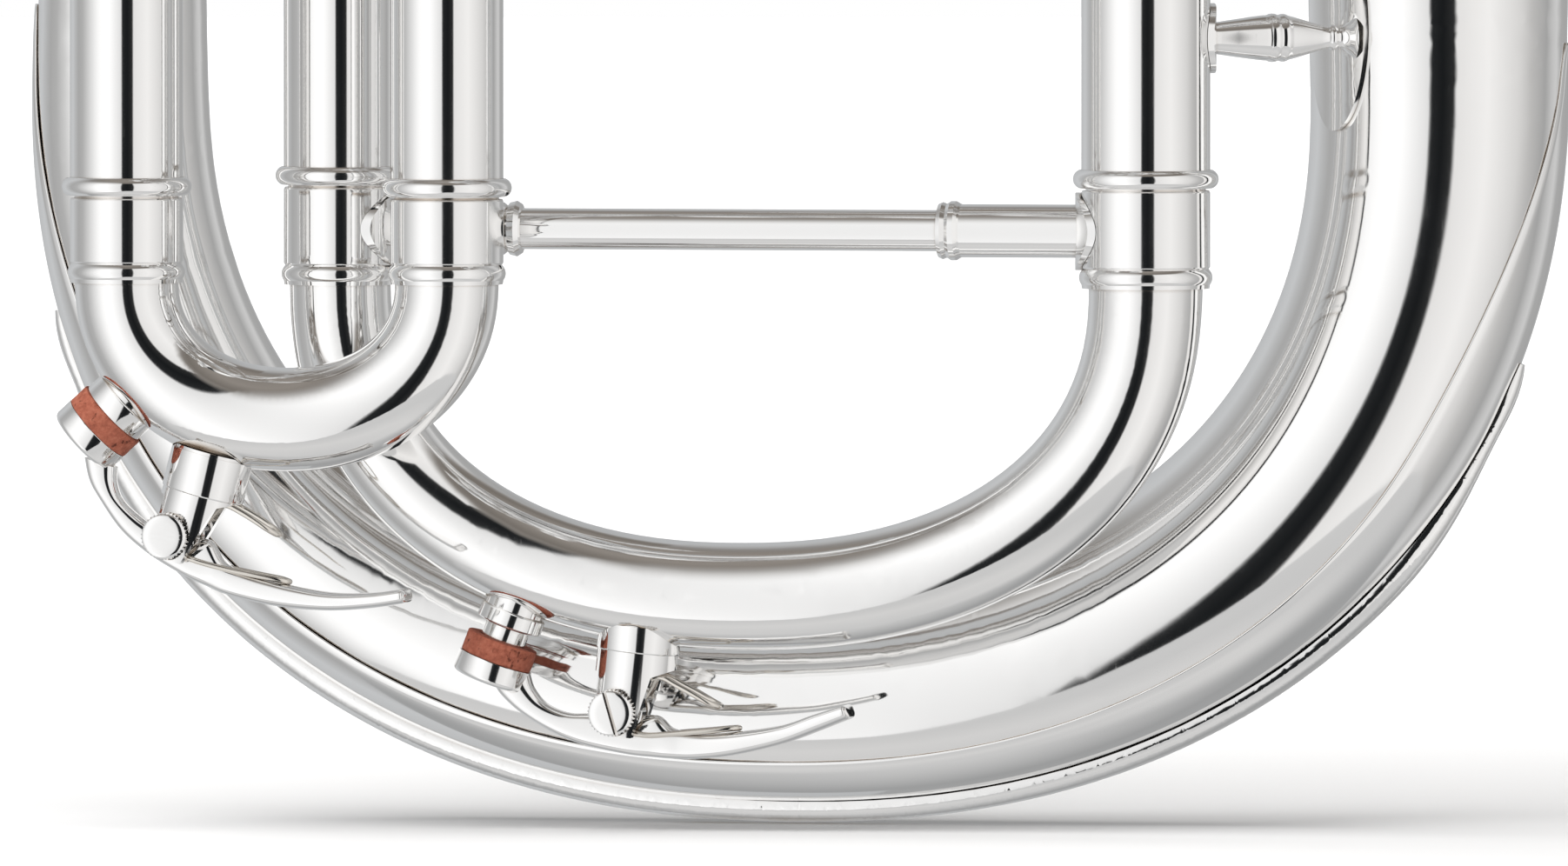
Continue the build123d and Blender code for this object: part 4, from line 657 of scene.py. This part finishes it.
# ---------------------------------------------------------------- guard plate
BOW_MID_X = -3.35
BOW_HALF_WIDTH = 99.8
BOW_DEPTH = 91.0
BOW_POWER = 2.24
BOW_SHOULDER_Z = 110.5
BOW_TOP_Z = 150.0
BOW_R_LEFT = 12.05
BOW_R_RIGHT = 19.85
BOW_ARC = 264.0
BOW_LENGTH = 344.0
GUARD_WRAP = 51.0
SOLDER = 0.05
SHEET = 0.6


def bow_place(angle):
    """Point of the bow's centreline, outward normal and radius at an angle from the left shoulder."""
    a = math.radians(angle)
    c, s = math.cos(a), math.sin(a)
    x = BOW_MID_X - BOW_HALF_WIDTH * math.copysign(abs(c) ** (2 / BOW_POWER), c)
    z = BOW_SHOULDER_Z - BOW_DEPTH * abs(s) ** (2 / BOW_POWER)
    gx, gz = (x - BOW_MID_X) / BOW_HALF_WIDTH, (z - BOW_SHOULDER_Z) / BOW_DEPTH
    normal = Vector((math.copysign(abs(gx) ** (BOW_POWER - 1), gx) / BOW_HALF_WIDTH, 0,
                     -abs(gz) ** (BOW_POWER - 1) / BOW_DEPTH)).normalized()
    leg = BOW_TOP_Z - BOW_SHOULDER_Z
    radius = BOW_R_LEFT + (BOW_R_RIGHT - BOW_R_LEFT) * (leg + angle / 180 * BOW_ARC) / BOW_LENGTH
    return Vector((x, 0, z)), normal, radius


def guard_plate():
    """Thin plate on the outside of the bow; its edges are filed down to a soft round lip."""
    stations = []
    slope = (BOW_R_RIGHT - BOW_R_LEFT) / BOW_LENGTH
    left_tip, right_tip = 122.0, 117.0
    for k in range(14):
        z = left_tip - (left_tip - BOW_SHOULDER_Z) * (k / 14) ** 1.6
        wrap = 18.3 * math.sqrt((left_tip - z) / (left_tip - BOW_SHOULDER_Z)) + 0.4
        centre = Vector((BOW_MID_X - BOW_HALF_WIDTH, 0, z))
        stations.append((centre, Vector((-1, 0, 0)), BOW_R_LEFT + slope * (BOW_TOP_Z - z), wrap))
    for k in range(361):
        angle = k * 0.5
        centre, normal, radius = bow_place(angle)
        reach = max(0.0, min((angle + 6) / 34, (183 - angle) / 34, 1.0))
        stations.append((centre, normal, radius, GUARD_WRAP * (1 - (1 - reach) ** 2.3)))
    for k in range(1, 13):
        z = BOW_SHOULDER_Z + (right_tip - BOW_SHOULDER_Z) * (1 - (1 - k / 12) ** 1.6)
        wrap = 9.7 * math.sqrt((right_tip - z) / (right_tip - BOW_SHOULDER_Z)) + 0.3
        centre = Vector((BOW_MID_X + BOW_HALF_WIDTH, 0, z))
        stations.append((centre, Vector((1, 0, 0)), BOW_R_RIGHT - slope * (BOW_TOP_Z - z), wrap))
    side = Vector((0, 1, 0))
    outer_steps, lip_steps = 40, 6
    rings = []
    for centre, normal, radius, wrap in stations:
        low = radius + SOLDER
        lip = min(3.2, wrap * 0.5)
        points = []
        for k in range(outer_steps + 1):
            angle = -wrap + 2 * wrap * k / outer_steps
            file = min(1.0, (wrap - abs(angle)) / lip)
            points.append((angle, low + SHEET * (0.55 + 0.45 * math.sin(file * math.pi / 2))))
        edge = SHEET * 0.55
        lip_turn = math.degrees(edge / 2 / low)
        for k in range(1, lip_steps):
            a = math.pi * k / lip_steps
            points.append((wrap + lip_turn * math.sin(a), low + edge / 2 + edge / 2 * math.cos(a)))
        points += [(wrap - 2 * wrap * k / 12, low) for k in range(13)]
        for k in range(1, lip_steps):
            a = math.pi * k / lip_steps
            points.append((-wrap - lip_turn * math.sin(a), low + edge / 2 - edge / 2 * math.cos(a)))
        rings.append([
            centre + (normal * math.cos(math.radians(a)) + side * math.sin(math.radians(a))) * r
            for a, r in points])
    shape = bmesh.new()
    skin(shape, rings)
    finished("bow_guard_plate", shape, "root", silver, ("bow_guard",), crease=60.0)


guard_plate()


# ---------------------------------------------------------------- stay of the bow
LEG_D_X = 57.10              # outlet tube of the main slide, where the stay starts
MAIN_Y = -29.0
WIDE_FIXED_R = 9.55
STAY_Z = 118.0
STAY_TURN = math.radians(24.6)
stay_dir = Vector((math.cos(STAY_TURN), math.sin(STAY_TURN), 0))
stay_start = Vector((LEG_D_X, MAIN_Y, STAY_Z)) + stay_dir * WIDE_FIXED_R
shape = bmesh.new()
lathe(shape, stay_start, stay_dir, (
    (0.1, 2.35), (0.4, 2.3), (1.5, 2.42), (4.0, 2.78), (6.5, 3.12), (8.2, 3.32), (8.6, 3.36),
    (8.85, 3.34), (9.1, 3.42), (9.4, 3.55), (9.8, 3.6), (10.2, 3.56), (10.5, 3.44), (10.7, 3.38),
    (10.95, 3.44), (11.25, 3.54), (11.6, 3.54), (11.95, 3.44), (12.2, 3.30), (12.5, 3.22),
    (13.5, 2.98), (15.2, 2.48), (17.0, 1.95), (18.3, 1.60), (18.5, 1.62), (18.75, 1.82),
    (19.1, 1.9), (19.45, 1.82), (19.65, 1.62), (19.85, 1.52), (20.3, 1.6), (20.8, 1.9),
    (21.3, 2.5), (21.7, 3.1), (22.0, 3.5), (22.2, 3.7)))
finished("bow_stay_turned", shape, "root", silver, ("bow_stay",))

# ---------------------------------------------------------------- valves
VALVE_X = (38.0, 8.0, -22.0)
VALVE_Y = -52.0
TOP_CAP_Z = 358.0
BOTTOM_CAP_Z = 207.0
BUTTON_TOP = 397.0
CAP_R = 14.2
CAP_RIM = ((0.05, 12.9), (0.05, 13.6), (0.5, 13.9), (0.9, CAP_R - 0.05), (1.2, CAP_R - 0.1), (1.6, 13.8),
           (1.8, CAP_R))
CAP_KNURL = {"sides": 384, "teeth": 64, "depth": 0.35, "toothed": (6, 7)}
COIL_LOW = 217.9             # ends of the valve springs at rest
COIL_HIGH = 249.1
VALVE_COIL_R = 7.9
VALVE_WIRE_R = 0.5
UP = Vector((0, 0, 1))
pearl = pearl_material()

top_caps, bottom_caps, bumpers = bmesh.new(), bmesh.new(), bmesh.new()
for x in VALVE_X:
    lathe(top_caps, (x, VALVE_Y, TOP_CAP_Z), UP, CAP_RIM + (
        (5.8, CAP_R), (6.0, 13.8), (6.4, CAP_R - 0.1), (6.8, 13.9), (7.2, 13.4), (8.4, 12.8),
        (9.2, 12.5), (9.9, 11.4), (10.6, 9.4), (11.1, 7.6), (11.3, 7.4), (13.2, 7.2), (13.7, 6.9),
        (13.95, 6.4), (13.95, 3.6), (13.6, 3.4), (9.0, 3.4)), **CAP_KNURL)
    lathe(bottom_caps, (x, VALVE_Y, BOTTOM_CAP_Z + 15.0), -UP, CAP_RIM + (
        (6.8, CAP_R), (7.0, 13.8), (7.4, CAP_R - 0.1), (7.8, 13.9), (8.4, 13.2), (9.6, 12.7),
        (10.4, 12.4), (11.4, 11.2), (12.4, 8.6), (12.8, 6.4), (13.0, 5.0), (13.4, 4.6),
        (14.5, 4.4), (14.85, 4.1), (14.95, 3.6), (14.95, 2.0), (13.5, 1.9), (9.0, 1.9)), **CAP_KNURL)
    lathe(bumpers, (x, VALVE_Y, TOP_CAP_Z + 14.0), UP, (
        (0.02, 3.3), (0.02, 5.8), (0.1, 6.1), (0.75, 6.1), (0.9, 5.9), (0.9, 3.3)), sides=96)
finished("valve_top_caps_knurled", top_caps, "root", silver, ("valve_top_caps",))
finished("valve_bottom_caps_knurled", bottom_caps, "root", silver, ("valve_bottom_caps",))
finished("valve_bumpers", bumpers, "root", cork)


def valve_spring(number, x):
    """Open coil with closed end turns."""
    turns, steps = 6.0, 44
    line = []
    for k in range(int((turns + 2) * steps) + 1):
        turn = k / steps
        rise = min(max((turn - 0.8) / (turns + 0.4), 0.0), 1.0)
        angle = 2 * math.pi * turn
        z = COIL_LOW + (COIL_HIGH - COIL_LOW) * rise + 0.1 * (turn - turns / 2 - 1) / turns
        line.append(Vector((x + VALVE_COIL_R * math.cos(angle),
                            VALVE_Y + VALVE_COIL_R * math.sin(angle), z)))
    shape = bmesh.new()
    wire(shape, line, VALVE_WIRE_R, sides=12)
    piece = finished(f"valve_coil_{number}", shape, None, steel,
                     (f"valve_spring_{number}",))
    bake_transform(piece)


for number, x in enumerate(VALVE_X, start=1):
    shape = bmesh.new()
    lathe(shape, (x, VALVE_Y, BUTTON_TOP - 1.2), UP, (
        (0.02, 0.02), (0.02, 7.0), (0.1, 7.12), (0.9, 7.12), (1.05, 6.9), (1.22, 5.5), (1.34, 3.0),
        (1.38, 0.02)), sides=96)
    finished(f"finger_pearl_{number}", shape, f"piston_{number}", pearl)
    valve_spring(number, x)
